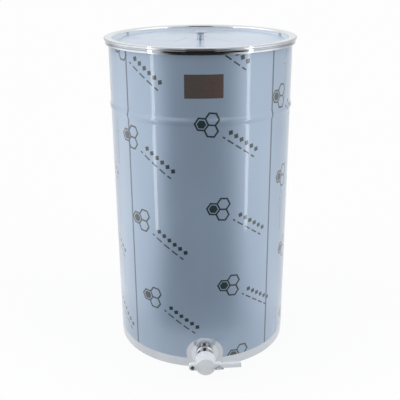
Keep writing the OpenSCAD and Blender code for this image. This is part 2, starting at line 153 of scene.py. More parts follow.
class Bench:
    """The modelling bench, where pieces are started, shaped and finished with operators."""

    @staticmethod
    def take(*pieces: bpy.types.Object) -> None:
        """Leaves edit mode and selects these pieces alone, the first one active.

        Args:
            pieces: Pieces to take in hand.
        """
        if bpy.context.object and bpy.context.object.mode != "OBJECT":
            bpy.ops.object.mode_set(mode="OBJECT")
        bpy.ops.object.select_all(action="DESELECT")
        for piece in pieces:
            piece.select_set(True)
        if pieces:
            bpy.context.view_layer.objects.active = pieces[0]

    @staticmethod
    def trace(name: str, points: Sequence[Vector]) -> bpy.types.Object:
        """Draws a line of edges by pulling one vertex from point to point.

        Args:
            name: Name of the new piece.
            points: Points of the line in order.

        Returns:
            The piece, in edit mode with all of it selected.
        """
        Bench.take()
        bpy.ops.mesh.primitive_plane_add(size=MM)
        piece = bpy.context.object
        piece.name = name
        bpy.ops.object.mode_set(mode="EDIT")
        bpy.ops.mesh.select_all(action="SELECT")
        bpy.ops.mesh.merge(type="CENTER")
        bpy.ops.transform.translate(value=points[0])
        for start, end in pairwise(points):
            bpy.ops.mesh.extrude_region_move(TRANSFORM_OT_translate={"value": end - start})
        bpy.ops.mesh.select_all(action="SELECT")
        return piece

    @staticmethod
    def lathe(name: str, outline: Outline, steps: int, turn: float = FULL_TURN, start: float = 0.0,
              solid_ends: bool = False) -> bpy.types.Object:
        """Spins a half section around the upright axis.

        Args:
            name: Name of the new piece.
            outline: Section as distances from the axis and heights; its last point closes on its first.
            steps: Number of steps in the turn.
            turn: Angle of the turn.
            start: Heading of the first section around the axis.
            solid_ends: Whether the section is filled, to close a part turn at both ends.

        Returns:
            The closed piece.
        """
        line = [Vector((reach * math.cos(start), reach * math.sin(start), z)) for reach, z in outline]
        piece = Bench.trace(name, line)
        if solid_ends:
            bpy.ops.mesh.edge_face_add()
        elif outline[0][0] > 0:
            bpy.ops.mesh.edge_face_add()
            bpy.ops.mesh.delete(type="ONLY_FACE")
        bpy.ops.mesh.select_all(action="SELECT")
        bpy.ops.mesh.spin(steps=steps, angle=-turn, center=(0, 0, 0), axis=(0, 0, 1))
        Bench.tidy(piece)
        return piece

    @staticmethod
    def plate(name: str, outline: Outline, low: float, high: float) -> bpy.types.Object:
        """Extrudes a flat outline upwards into a plate.

        Args:
            name: Name of the new piece.
            outline: Outline seen from above, in order round.
            low: Height of the lower face.
            high: Height of the upper face.

        Returns:
            The closed plate.
        """
        piece = Bench.trace(name, [Vector((x, y, low)) for x, y in outline])
        bpy.ops.mesh.edge_face_add()
        bpy.ops.mesh.extrude_region_move(TRANSFORM_OT_translate={"value": (0, 0, high - low)})
        Bench.tidy(piece)
        return piece

    @staticmethod
    def rod(name: str, radius: float, low: float, high: float, steps: int = 64) -> bpy.types.Object:
        """Makes a plain round bar to cut with, along the upright axis."""
        return Bench.lathe(name, [(0, low), (radius, low), (radius, high), (0, high)], steps)

    @staticmethod
    def thread(name: str, crest: float, depth: float, pitch: float, low: float,
               turns: int) -> bpy.types.Object:
        """Winds the ridge of a screw thread around the upright axis.

        Args:
            name: Name of the new piece.
            crest: Radius at the ridge's crest.
            depth: Height of the ridge over its root.
            pitch: Rise of one turn.
            low: Height at which the ridge starts.
            turns: Number of whole turns.

        Returns:
            The closed ridge, its foot sunk a little into the bar that carries it.
        """
        foot_share, top_share, sink_share = 0.48, 0.08, 0.25
        turn_steps = 48
        foot = crest - depth - sink_share * depth
        section = [(foot, -foot_share), (crest, -top_share), (crest, top_share), (foot, foot_share)]
        line = [Vector((reach, 0, low + share * pitch)) for reach, share in section]
        piece = Bench.trace(name, line)
        bpy.ops.mesh.edge_face_add()
        bpy.ops.mesh.delete(type="ONLY_FACE")
        Bench.take(piece)
        winding = piece.modifiers.new("winding", "SCREW")
        winding.axis = "Z"
        winding.screw_offset = pitch
        winding.iterations = turns
        winding.steps = winding.render_steps = turn_steps
        winding.use_smooth_shade = False
        bpy.ops.object.modifier_apply(modifier=winding.name)
        bpy.ops.object.mode_set(mode="EDIT")
        bpy.ops.mesh.select_all(action="SELECT")
        bpy.ops.mesh.fill_holes(sides=len(section))
        Bench.tidy(piece)
        return piece

    @staticmethod
    def tidy(piece: bpy.types.Object) -> None:
        """Merges doubled vertices and turns the faces outwards.

        Args:
            piece: Piece to tidy.
        """
        Bench.take(piece)
        bpy.ops.object.mode_set(mode="EDIT")
        bpy.ops.mesh.select_all(action="SELECT")
        bpy.ops.mesh.remove_doubles(threshold=WELD_GAP)
        bpy.ops.mesh.normals_make_consistent(inside=False)
        bpy.ops.object.mode_set(mode="OBJECT")

    @staticmethod
    def soften(piece: bpy.types.Object, width: float, segments: int = 3) -> bpy.types.Object:
        """Rounds a piece's sharp edges.

        Args:
            piece: Piece to round.
            width: Width of the rounding.
            segments: Number of faces across it.

        Returns:
            The same piece.
        """
        Bench.take(piece)
        rounding = piece.modifiers.new("rounding", "BEVEL")
        rounding.width = width
        rounding.segments = segments
        rounding.limit_method = "ANGLE"
        rounding.angle_limit = SHARP_EDGE
        bpy.ops.object.modifier_apply(modifier=rounding.name)
        return piece

    @staticmethod
    def work(piece: bpy.types.Object, tool: bpy.types.Object, how: Join) -> bpy.types.Object:
        """Works a second shape into a piece and clears that shape off the bench.

        Args:
            piece: Piece that is kept.
            tool: Shape that is used up.
            how: Whether the shape is added, cut away, or bounds what stays.

        Returns:
            The kept piece.
        """
        Bench.take(piece)
        step = piece.modifiers.new("work", "BOOLEAN")
        step.operation = how.value
        step.solver = "EXACT"
        step.object = tool
        bpy.ops.object.modifier_apply(modifier=step.name)
        bpy.data.objects.remove(tool)
        if not piece.data.polygons:
            raise RuntimeError(f"nothing is left of {piece.name}")
        return piece

    @staticmethod
    def twin(piece: bpy.types.Object, name: str) -> bpy.types.Object:
        """Makes a second piece of the same shape, with its own mesh.

        Args:
            piece: Piece to copy.
            name: Name of the new piece.

        Returns:
            The new piece.
        """
        Bench.take(piece)
        bpy.ops.object.duplicate(linked=False)
        bpy.context.object.name = name
        return bpy.context.object

    @staticmethod
    def place(piece: bpy.types.Object, where: Vector,
              turn: Sequence[float] = (0, 0, 0)) -> bpy.types.Object:
        """Turns and moves a piece, and writes its new place into its mesh.

        Args:
            piece: Piece to place.
            where: How far it moves.
            turn: Angles about the three axes.

        Returns:
            The same piece.
        """
        Bench.take(piece)
        piece.location = where
        piece.rotation_euler = turn
        bpy.ops.object.transform_apply(location=True, rotation=True, scale=True)
        return piece


class Value:
    """A number in a material. Sums of values add Math nodes to its board."""

    def __init__(self, board: "Board", socket: bpy.types.NodeSocket) -> None:
        """Wraps an output socket of a board."""
        self.board = board
        self.socket = socket

    def __add__(self, other: "Value | float") -> "Value":
        """Adds."""
        return self.board.math("ADD", self, other)

    __radd__ = __add__

    def __sub__(self, other: "Value | float") -> "Value":
        """Takes away."""
        return self.board.math("SUBTRACT", self, other)

    def __rsub__(self, other: float) -> "Value":
        """Takes this value away from a number."""
        return self.board.math("SUBTRACT", other, self)

    def __mul__(self, other: "Value | float") -> "Value":
        """Multiplies."""
        return self.board.math("MULTIPLY", self, other)

    __rmul__ = __mul__

    def __truediv__(self, other: "Value | float") -> "Value":
        """Divides."""
        return self.board.math("DIVIDE", self, other)

    def __mod__(self, step: float) -> "Value":
        """Gives what is left over after whole steps."""
        return self.board.math("FLOORED_MODULO", self, step)

    def __neg__(self) -> "Value":
        """Turns the sign."""
        return self * -1.0

    def __abs__(self) -> "Value":
        """Drops the sign."""
        return self.board.math("ABSOLUTE", self)

    def floor(self) -> "Value":
        """Rounds down."""
        return self.board.math("FLOOR", self)

    def least(self, other: "Value | float") -> "Value":
        """Gives the smaller of two."""
        return self.board.math("MINIMUM", self, other)

    def most(self, other: "Value | float") -> "Value":
        """Gives the larger of two."""
        return self.board.math("MAXIMUM", self, other)

    def below(self, edge: "Value | float") -> "Value":
        """Gives 1 where this value is under the edge."""
        return self.board.math("LESS_THAN", self, edge)

    def between(self, low: float, high: float) -> "Value":
        """Gives 1 where this value lies between two others."""
        return self.below(high) * (1 - self.below(low))

    def repeat(self, step: float) -> "Value":
        """Gives the place within a step that repeats, from the step's middle."""
        return (self / step % 1.0 - 0.5) * step

    def fade(self, low: float, high: float) -> "Value":
        """Rises smoothly from 0 to 1.

        Args:
            low: Where the rise starts.
            high: Where it ends.

        Returns:
            The share.
        """
        sockets = {"Value": self, "From Min": low, "From Max": high}
        node = self.board.add("ShaderNodeMapRange", {"interpolation_type": "SMOOTHSTEP"}, sockets)
        return Value(self.board, node.outputs["Result"])


class Board:
    """A node tree that materials and the studio light are wired on."""

    def __init__(self, tree: bpy.types.NodeTree) -> None:
        """Takes a tree and clears it."""
        self.tree = tree
        self.tree.nodes.clear()

    def add(self, kind: str, settings: dict[str, Any], sockets: dict[str | int, Any]) -> bpy.types.Node:
        """Adds a node.

        Args:
            kind: Type of the node.
            settings: Settings of the node itself, which are made first.
            sockets: Values or links for its input sockets, by name or number.

        Returns:
            The new node.
        """
        node = self.tree.nodes.new(kind)
        for name, value in settings.items():
            setattr(node, name, value)
        for name, value in sockets.items():
            source = value.socket if isinstance(value, Value) else value
            if isinstance(source, bpy.types.NodeSocket):
                self.tree.links.new(source, node.inputs[name])
            elif isinstance(source, tuple) and len(source) == 3 and node.inputs[name].type == "RGBA":
                node.inputs[name].default_value = (*source, 1.0)
            else:
                node.inputs[name].default_value = source
        return node

    def math(self, operation: str, *terms: Value | float) -> Value:
        """Adds a Math node on one or two terms and gives its result."""
        node = self.add("ShaderNodeMath", {"operation": operation}, dict(enumerate(terms)))
        return Value(self, node.outputs[0])

    def length(self, x: Value, y: Value) -> Value:
        """Gives the length of a flat vector."""
        return self.math("SQRT", x * x + y * y)

    def split(self, vector: bpy.types.NodeSocket) -> tuple[Value, Value, Value]:
        """Gives a vector's three numbers."""
        node = self.add("ShaderNodeSeparateXYZ", {}, {0: vector})
        return tuple(Value(self, output) for output in node.outputs)

    def blend(self, share: Value | float, first: Any, second: Any) -> bpy.types.NodeSocket:
        """Mixes two colours, or what their sockets carry, by the share of the second one."""
        node = self.add("ShaderNodeMix", {"data_type": "RGBA"}, {0: share, 6: first, 7: second})
        return node.outputs[2]


class Paint(Board):
    """The board of one material, with a Principled shader at its end."""

    def __init__(self, name: str) -> None:
        """Starts a new material.

        Args:
            name: Name of the material.
        """
        self.material = bpy.data.materials.new(name)
        self.material.use_nodes = True
        super().__init__(self.material.node_tree)
        self.coordinates = self.add("ShaderNodeTexCoord", {}, {}).outputs["Object"]

    def place(self) -> tuple[Value, Value, Value]:
        """Gives the point's place on the object, in metres."""
        return self.split(self.coordinates)

    def noise(self, size: Size, detail: float = 2.0) -> Value:
        """Gives soft random blotches from 0 to 1.

        Args:
            size: Size of a blotch along the three axes, in metres.
            detail: Number of finer layers.

        Returns:
            The noise.
        """
        terms = {0: self.coordinates, 1: size}
        scaled = self.add("ShaderNodeVectorMath", {"operation": "DIVIDE"}, terms)
        sockets = {"Vector": scaled.outputs[0], "Scale": 1.0, "Detail": detail}
        return Value(self, self.add("ShaderNodeTexNoise", {}, sockets).outputs["Fac"])

    def bump(self, height: Value, distance: float) -> bpy.types.NodeSocket:
        """Gives the normal of a surface with heights on it, as shares of a distance in metres."""
        return self.add("ShaderNodeBump", {}, {"Height": height, "Distance": distance}).outputs[0]

    def surface(self, sockets: dict[str | int, Any]) -> bpy.types.Material:
        """Ends the board with a Principled shader.

        Args:
            sockets: Values or links for the shader's sockets.

        Returns:
            The finished material.
        """
        shader = self.add("ShaderNodeBsdfPrincipled", {}, sockets)
        self.add("ShaderNodeOutputMaterial", {}, {"Surface": shader.outputs[0]})
        return self.material


@dataclass(frozen=True)
class SteelFinish:
    """Bare stainless steel: clouded gloss and a fine rolled or turned grain."""

    name: str
    colour: Colour
    roughness: float
    grain: Size
    grain_depth: float
    # How much rougher, paler and hazier plain sheet is than a worked rim or a polished weld; the paler
    # sheet is painted light, and the rim's darker colour is painted shade that tempers its bright
    # highlights
    satin: float = 1.0
    paler: float = 1.0
    haze: float = 0.0
    # Heights over which the rim starts, and distances from the outlet over which the polish ends
    worked: Span = (780 * MM, 810 * MM)
    outlet: float = 40 * MM
    polish: Span = (32 * MM, 39 * MM)
    # Size of the clouds, the darkening under them and the range over which it sets in
    cloud: Size = (60 * MM, 60 * MM, 90 * MM)
    smudge: float = 0.12
    smudge_edge: Span = (0.3, 0.8)
    # Shares of the roughness that are even, clouded and grained
    even_share: float = 0.8
    cloud_share: float = 0.25
    grain_share: float = 0.15

    def material(self) -> bpy.types.Material:
        """Mixes the material.

        Returns:
            The steel.
        """
        paint = Paint(self.name)
        x, _, z = paint.place()
        plain = 1 - z.fade(*self.worked)
        hazy = plain * paint.length(x, z - self.outlet).fade(*self.polish)
        clouds = paint.noise(self.cloud)
        grain = paint.noise(self.grain, detail=3.0)
        satin = 1 + (self.satin - 1) * plain
        uneven = self.even_share + self.cloud_share * clouds + self.grain_share * grain
        # Painted light and shade: the plain sheet is painted paler than the rim, whose darker colour
        # tempers its bright highlights
        light_toned_steel = paint.blend(plain, self.colour, toned(self.colour, self.paler))
        smudge = self.smudge * clouds.fade(*self.smudge_edge)
        return paint.surface({
            "Base Color": paint.blend(smudge, light_toned_steel, BLACK),
            "Metallic": 1 - self.haze * hazy,
            "Roughness": self.roughness * satin * uneven,
            "Normal": paint.bump(grain, self.grain_depth),
        })


@dataclass(frozen=True)
class WeldFinish:
    """Weld metal: rippled along the seam, with a faint straw tint in patches."""

    name: str
    ripple: float
    ripple_depth: float = 0.12 * MM
    # Rise of a ripple towards both sides of the seam
    slant: float = 0.3
    patch: Size = (25 * MM, 25 * MM, 25 * MM)
    patch_edge: Span = (0.4, 0.75)
    steel: Colour = srgb(206, 209, 213)
    straw: Colour = srgb(196, 195, 193)
    roughness: float = 0.22
    patch_roughness: float = 0.12

    def material(self) -> bpy.types.Material:
        """Mixes the material.

        Returns:
            The weld metal.
        """
        paint = Paint(self.name)
        x, _, z = paint.place()
        along = z + self.slant * abs(x)
        ripple = abs(along.repeat(self.ripple)) * (2.0 / self.ripple)
        tint = paint.noise(self.patch)
        return paint.surface({
            "Base Color": paint.blend(tint.fade(*self.patch_edge), self.steel, self.straw),
            "Metallic": 1.0,
            "Roughness": self.roughness + self.patch_roughness * tint,
            "Normal": paint.bump(ripple, self.ripple_depth),
        })


@dataclass(frozen=True)
class FilmPrint:
    """Plain print on the drum's film: combs, lozenges, two stripes and arrows."""

    radius: float
    slant: float = math.radians(-35)
    row_step: float = 158 * MM
    period: float = 290 * MM
    cell: float = 14 * MM
    cell_line: float = 4.2 * MM
    comb_place: float = -82 * MM
    lozenge_step: float = 17 * MM
    lozenge_half: Point = (6.8 * MM, 7.5 * MM)
    lozenge_run: Span = (-36 * MM, 66 * MM)
    dash_step: float = 25.5 * MM
    dash_half: Point = (9 * MM, 1.9 * MM)
    line_gap: float = 9.5 * MM
    stripes: Point = (math.radians(-50.3), math.radians(45.4))
    stripe_width: float = 5.5 * MM
    # Heading of each column of arrows, and the height of one of its tips
    arrow_columns: tuple[Point, Point] = ((math.radians(-65), 650 * MM), (math.radians(60.2), 466 * MM))
    arrow_step: float = 352 * MM
    arrow_length: float = 118 * MM
    arrow_head: Point = (10 * MM, 34 * MM)
    arrow_shaft: float = 3.2 * MM
    arrow_line: float = 1.5 * MM
    arrow_ink: float = 0.8

    def hexagon(self, x: Value, y: Value) -> Value:
        """Gives how far a point lies outside an upright hexagon of the comb."""
        slanted = abs(x) * math.cos(math.radians(60)) + abs(y) * math.sin(math.radians(60))
        return abs(x).most(slanted) - self.cell

    def comb(self, x: Value, y: Value) -> Value:
        """Gives the ink of three comb cells, the first one filled.

        Args:
            x: Place along the row, from the comb's middle.
            y: Place across the row.

        Returns:
            1 on the ink.
        """
        corner = self.cell / math.cos(math.radians(30))
        lift = 0.75 * corner
        middles = ((-1, -lift), (1, -lift), (0, lift))
        cells = [self.hexagon(x - side * self.cell, y - up) for side, up in middles]
        lines = [abs(cell).below(self.cell_line / 2) for cell in cells]
        filled = cells[0].below(-self.cell_line)
        return reduce(Value.most, [*lines, filled])

    def lozenges(self, x: Value, y: Value) -> Value:
        """Gives the ink of a row of lozenges over a row of dashes.

        Args:
            x: Place along the row.
            y: Place across the row.

        Returns:
            1 on the ink.
        """
        across, up = self.lozenge_half
        reach = abs(x.repeat(self.lozenge_step)) / across + abs(y - self.line_gap) / up
        half, thick = self.dash_half
        dash = abs(x.repeat(self.dash_step)).below(half) * abs(y + self.line_gap).below(thick)
        return reach.below(1.0).most(dash) * x.between(*self.lozenge_run)

    def rows(self, around: Value, z: Value) -> Value:
        """Gives the ink of the slanted rows, every second one moved by half a period.

        Args:
            around: Place around the drum, as a length on its surface.
            z: Height.

        Returns:
            1 on the ink.
        """
        cosine, sine = math.cos(self.slant), math.sin(self.slant)
        along = around * cosine + z * sine
        across = z * cosine - around * sine
        row = (across / self.row_step).floor()
        x = (along + (row % 2.0) * (self.period / 2)).repeat(self.period)
        y = across.repeat(self.row_step)
        return self.comb(x - self.comb_place, y).most(self.lozenges(x, y))

    def arrow(self, x: Value, down: Value, inset: float) -> Value:
        """Gives the inside of an upright arrow, drawn smaller by an inset.

        Args:
            x: Place across the arrow.
            down: Distance below its tip.
            inset: How far the drawn edge lies inside the real one.

        Returns:
            1 inside the arrow.
        """
        half, height = self.arrow_head
        slope = half / height
        tip = inset / slope
        head = down.between(tip, height - inset) * abs(x).below((down - tip) * slope)
        stretch = down.between(height - 2 * inset, self.arrow_length - inset)
        shaft = stretch * abs(x).below(self.arrow_shaft - inset)
        return head.most(shaft)

    def guides(self, angle: Value, z: Value) -> Value:
        """Gives the grey ink of the upright stripes and the arrows.

        Args:
            angle: Heading around the drum.
            z: Height.

        Returns:
            The ink, 1 on the stripes and fainter on the arrows.
        """
        half = self.stripe_width / 2
        inks = [abs((angle - heading) * self.radius).below(half) for heading in self.stripes]
        for heading, tip in self.arrow_columns:
            x = (angle - heading) * self.radius
            down = (tip - z) % self.arrow_step
            line = self.arrow(x, down, 0.0) - self.arrow(x, down, self.arrow_line)
            inks.append(line * self.arrow_ink)
        return reduce(Value.most, inks)


@dataclass(frozen=True)
class FilmFinish:
    """Protective film on rolled steel: a satin blue ground under a glossy skin, with its print."""

    name: str
    ground: Colour
    pattern: FilmPrint
    ink: Colour = srgb(35, 55, 60)
    guide_ink: Colour = srgb(54, 74, 88)
    guide_share: float = 0.85
    # Share of the steel's shine that comes through, and how much of it the grey ink takes
    metal_share: float = 0.26
    guide_dulling: float = 0.6
    cloud: Size = (120 * MM, 120 * MM, 260 * MM)
    cloud_edge: Span = (0.3, 0.7)
    paler: float = 1.07
    # Roughness, and its shares that are even and clouded
    roughness: float = 0.42
    even_share: float = 0.9
    cloud_share: float = 0.2
    skin_roughness: float = 0.06
    rolled: Size = (3 * MM, 3 * MM, 70 * MM)
    rolled_depth: float = 0.01 * MM

    def material(self) -> bpy.types.Material:
        """Mixes the material.

        Returns:
            The film with its print.
        """
        paint = Paint(self.name)
        x, y, z = paint.place()
        angle = paint.math("ARCTAN2", x, -y)
        rows = self.pattern.rows(angle * self.pattern.radius, z)
        guides = self.pattern.guides(angle, z)
        clouds = paint.noise(self.cloud)
        rolled = paint.noise(self.rolled, detail=3.0)
        paler = toned(self.ground, self.paler)
        ground = paint.blend(clouds.fade(*self.cloud_edge), self.ground, paler)
        guided = paint.blend(guides * self.guide_share, ground, self.guide_ink)
        return paint.surface({
            "Base Color": paint.blend(rows, guided, self.ink),
            "Metallic": self.metal_share * (1 - rows) * (1 - self.guide_dulling * guides),
            "Roughness": self.roughness * (self.even_share + self.cloud_share * clouds),
            "Coat Weight": 1.0,
            "Coat Roughness": self.skin_roughness,
            "Normal": paint.bump(rolled, self.rolled_depth),
        })


@dataclass(frozen=True)
class LidFilmFinish:
    """Pale film on the lid, glossy, with a few faint arrows, stretched clear over the brim; on the pan's
    wall it is painted paler, a painted brightening of the wall's dark reflection.
    """

    name: str
    ground: Colour
    # Radii over which the film is painted paler on the pan's wall, a painted brightening of its dark
    # reflection, and heights over which it gets clear
    wall: Span
    bend: Span
    painted_wall_light: Colour = srgb(230, 238, 246)
    steel: Colour = srgb(230, 235, 238)
    cloud: Size = (90 * MM, 90 * MM, 90 * MM)
    cloud_edge: Span = (0.3, 0.7)
    cloud_depth: float = 0.03 * MM
    darker: float = 0.93
    # Share of the steel's shine that comes through, and what a clear film adds to it
    metal_share: float = 0.05
    clear_metal: float = 0.85
    # Roughness, what the clouds add, and the share of it that a clear film takes away
    roughness: float = 0.3
    cloud_roughness: float = 0.08
    clear_gloss: float = 0.7
    skin_share: float = 0.5
    skin_roughness: float = 0.1
    ink: Colour = srgb(120, 138, 152)
    ink_share: float = 0.7
    line: float = 1.6 * MM
    barb: float = 16 * MM
    barb_slope: float = 0.4
    # Tail, heading in degrees and length of each arrow on the panel
    arrows: tuple[tuple[Point, float, float], ...] = (
        ((-67 * MM, -34 * MM), 68, 83 * MM),
        ((84 * MM, -64 * MM), 117, 163 * MM),
        ((-210 * MM, -3 * MM), 82, 124 * MM),
        ((217 * MM, 43 * MM), 96, 137 * MM),
    )

    def arrow(self, x: Value, y: Value, tail: Point, heading: float, length: float) -> Value:
        """Gives the ink of one line arrow.

        Args:
            x: Place across the lid.
            y: Place along the lid.
            tail: Where the arrow starts.
            heading: Angle of the arrow, in degrees.
            length: Length of the arrow.

        Returns:
            1 on the arrow's lines.
        """
        cosine, sine = math.cos(math.radians(heading)), math.sin(math.radians(heading))
        along = (x - tail[0]) * cosine + (y - tail[1]) * sine
        across = abs((y - tail[1]) * cosine - (x - tail[0]) * sine)
        shaft = across.below(self.line) * along.between(0.0, length)
        back = length - along
        barbs = abs(across - self.barb_slope * back).below(self.line) * back.between(0.0, self.barb)
        return shaft.most(barbs)

    def material(self) -> bpy.types.Material:
        """Mixes the material.

        Returns:
            The lid's film.
        """
        paint = Paint(self.name)
        x, y, z = paint.place()
        ink = reduce(Value.most, [self.arrow(x, y, *arrow) for arrow in self.arrows])
        clouds = paint.noise(self.cloud)
        darker = toned(self.ground, self.darker)
        ground = paint.blend(clouds.fade(*self.cloud_edge), self.ground, darker)
        # Painted light: the pan's wall is painted paler, brightening its dark reflection
        lightened_wall = paint.blend(paint.length(x, y).fade(*self.wall), ground, self.painted_wall_light)
        printed = paint.blend(ink * self.ink_share, lightened_wall, self.ink)
        clear = z.fade(*self.bend)
        rough = self.roughness + self.cloud_roughness * clouds
        return paint.surface({
            "Base Color": paint.blend(clear, printed, self.steel),
            "Metallic": self.metal_share + self.clear_metal * clear,
            "Roughness": rough * (1 - self.clear_gloss * clear),
            "Coat Weight": self.skin_share,
            "Coat Roughness": self.skin_roughness,
            "Normal": paint.bump(clouds, self.cloud_depth),
        })


@dataclass(frozen=True)
class StickerFinish:
    """Brown paper sticker with a faint comb pattern towards one side."""

    name: str
    middle: float
    paper: Colour = srgb(76, 69, 66)
    paler: float = 1.35
    ink: Colour = srgb(112, 66, 54)
    ink_share: float = 0.7
    cell: float = 11 * MM
    line_share: float = 0.07
    half_width: float = 45 * MM
    # Places, as shares of the half width, over which the comb sets in
    comb_edge: Span = (-0.3, 0.5)
    fibre: Size = (0.8 * MM, 0.8 * MM, 5 * MM)
    fibre_edge: Span = (0.35, 0.75)
    fibre_depth: float = 0.02 * MM
    roughness: float = 0.42
    fibre_roughness: float = 0.15
    varnish: float = 0.25

    def cell_edge(self, x: Value, y: Value) -> Value:
        """Gives how near a point of the comb lies to a cell's edge.

        Args:
            x: Place across the comb, in cells.
            y: Height on the comb, in cells.

        Returns:
            0.5 on a cell's edge, 0 in its middle.
        """
        tall = math.sqrt(3)
        reach = []
        for column, row in ((x, y), (x + 0.5, y + tall / 2)):
            across, up = abs(column.repeat(1.0)), abs(row.repeat(tall))
            reach.append(across.most(across * 0.5 + up * (tall / 2)))
        return reach[0].least(reach[1])

    def material(self) -> bpy.types.Material:
        """Mixes the material.

        Returns:
            The paper.
        """
        paint = Paint(self.name)
        x, _, z = paint.place()
        edge = self.cell_edge(x / self.cell, (z - self.middle) / self.cell)
        comb = (1 - edge.below(0.5 - self.line_share)) * (x / self.half_width).fade(*self.comb_edge)
        fibre = paint.noise(self.fibre, detail=4.0)
        paper = paint.blend(fibre.fade(*self.fibre_edge), self.paper, toned(self.paper, self.paler))
        return paint.surface({
            "Base Color": paint.blend(comb * self.ink_share, paper, self.ink),
            "Roughness": self.roughness + self.fibre_roughness * fibre,
            "Coat Weight": self.varnish,
            "Normal": paint.bump(fibre, self.fibre_depth),
        })


@dataclass(frozen=True)
class PlasticFinish:
    """Moulded plastic or rubber: an even satin skin with a faint orange peel."""

    name: str
    colour: Colour
    roughness: float
    cloud: Size = (18 * MM, 18 * MM, 18 * MM)
    cloud_edge: Span = (0.3, 0.75)
    cloud_roughness: float = 0.1
    darker: float = 0.95
    peel: Size = (0.9 * MM, 0.9 * MM, 0.9 * MM)
    peel_depth: float = 0.03 * MM

    def material(self) -> bpy.types.Material:
        """Mixes the material.

        Returns:
            The plastic.
        """
        paint = Paint(self.name)
        clouds = paint.noise(self.cloud)
        peel = paint.noise(self.peel, detail=3.0)
        darker = toned(self.colour, self.darker)
        return paint.surface({
            "Base Color": paint.blend(clouds.fade(*self.cloud_edge), self.colour, darker),
            "Roughness": self.roughness + self.cloud_roughness * clouds,
            "Normal": paint.bump(peel, self.peel_depth),
        })


@dataclass(frozen=True)
class Seat:
    """Where a piece belongs: its body, its slot and the nodes that it stands for."""

    body: Body
    slot: Slot
    nodes: tuple[str, ...] = ()


def deliver(piece: bpy.types.Object, seat: Seat, material: bpy.types.Material) -> None:
    """Smooths and dresses a finished piece and hands it to the frame.

    Args:
        piece: Piece with its place in its mesh.
        seat: Where it belongs.
        material: What it is made of.
    """
    Bench.tidy(piece)
    Bench.take(piece)
    bpy.ops.object.shade_smooth_by_angle(angle=SHARP_EDGE)
    piece.data.materials.clear()
    piece.data.materials.append(material)
    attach(piece, seat.body.value)
    if seat.nodes:
        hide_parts(*seat.nodes)
    log.info("%s: %d faces, rides on %s", piece.name, len(piece.data.polygons), seat.body.value)


@dataclass
class Shop:
    """The finishes that the pieces share."""

    rolled: bpy.types.Material
    polished: bpy.types.Material
    turned: bpy.types.Material
    weld: bpy.types.Material
    zinc: bpy.types.Material
    dark: bpy.types.Material
    plastic: bpy.types.Material
    rubber: bpy.types.Material

    @classmethod
    def open(cls) -> "Shop":
        """Mixes the shared materials.

        Returns:
            The shop with all its finishes.
        """
        upright_grain = (0.6 * MM, 0.6 * MM, 25 * MM)
        turned_grain = (8 * MM, 8 * MM, 0.35 * MM)
        fine, coarse = 0.006 * MM, 0.01 * MM
        finishes = {
            # paler=1.24 paints the plain sheet lighter than its rim, a painted shade on the rim against
            # its bright highlights
            "rolled": SteelFinish("rolled_steel", srgb(196, 201, 207), 0.06, upright_grain, 0.004 * MM,
                                  satin=2.6, paler=1.24, haze=0.5),
            "polished": SteelFinish("polished_steel", srgb(226, 227, 230), 0.1, turned_grain, fine),
            "turned": SteelFinish("turned_steel", srgb(200, 203, 208), 0.22, turned_grain, fine),
            "weld": WeldFinish("weld_steel", 1.6 * MM),
            "zinc": SteelFinish("fastener_steel", srgb(196, 197, 200), 0.26, turned_grain, coarse),
            # Painted shade: dark steel on the pivot's nut and stud, standing in for the shadow and dark
            # reflections on that nut
            "dark": SteelFinish("pivot_shade_steel", srgb(96, 98, 102), 0.4, turned_grain, coarse),
            "plastic": PlasticFinish("white_plastic", srgb(244, 250, 255), 0.34),
            "rubber": PlasticFinish("black_rubber", srgb(30, 30, 31), 0.6),
        }
        return cls(**{name: finish.material() for name, finish in finishes.items()})


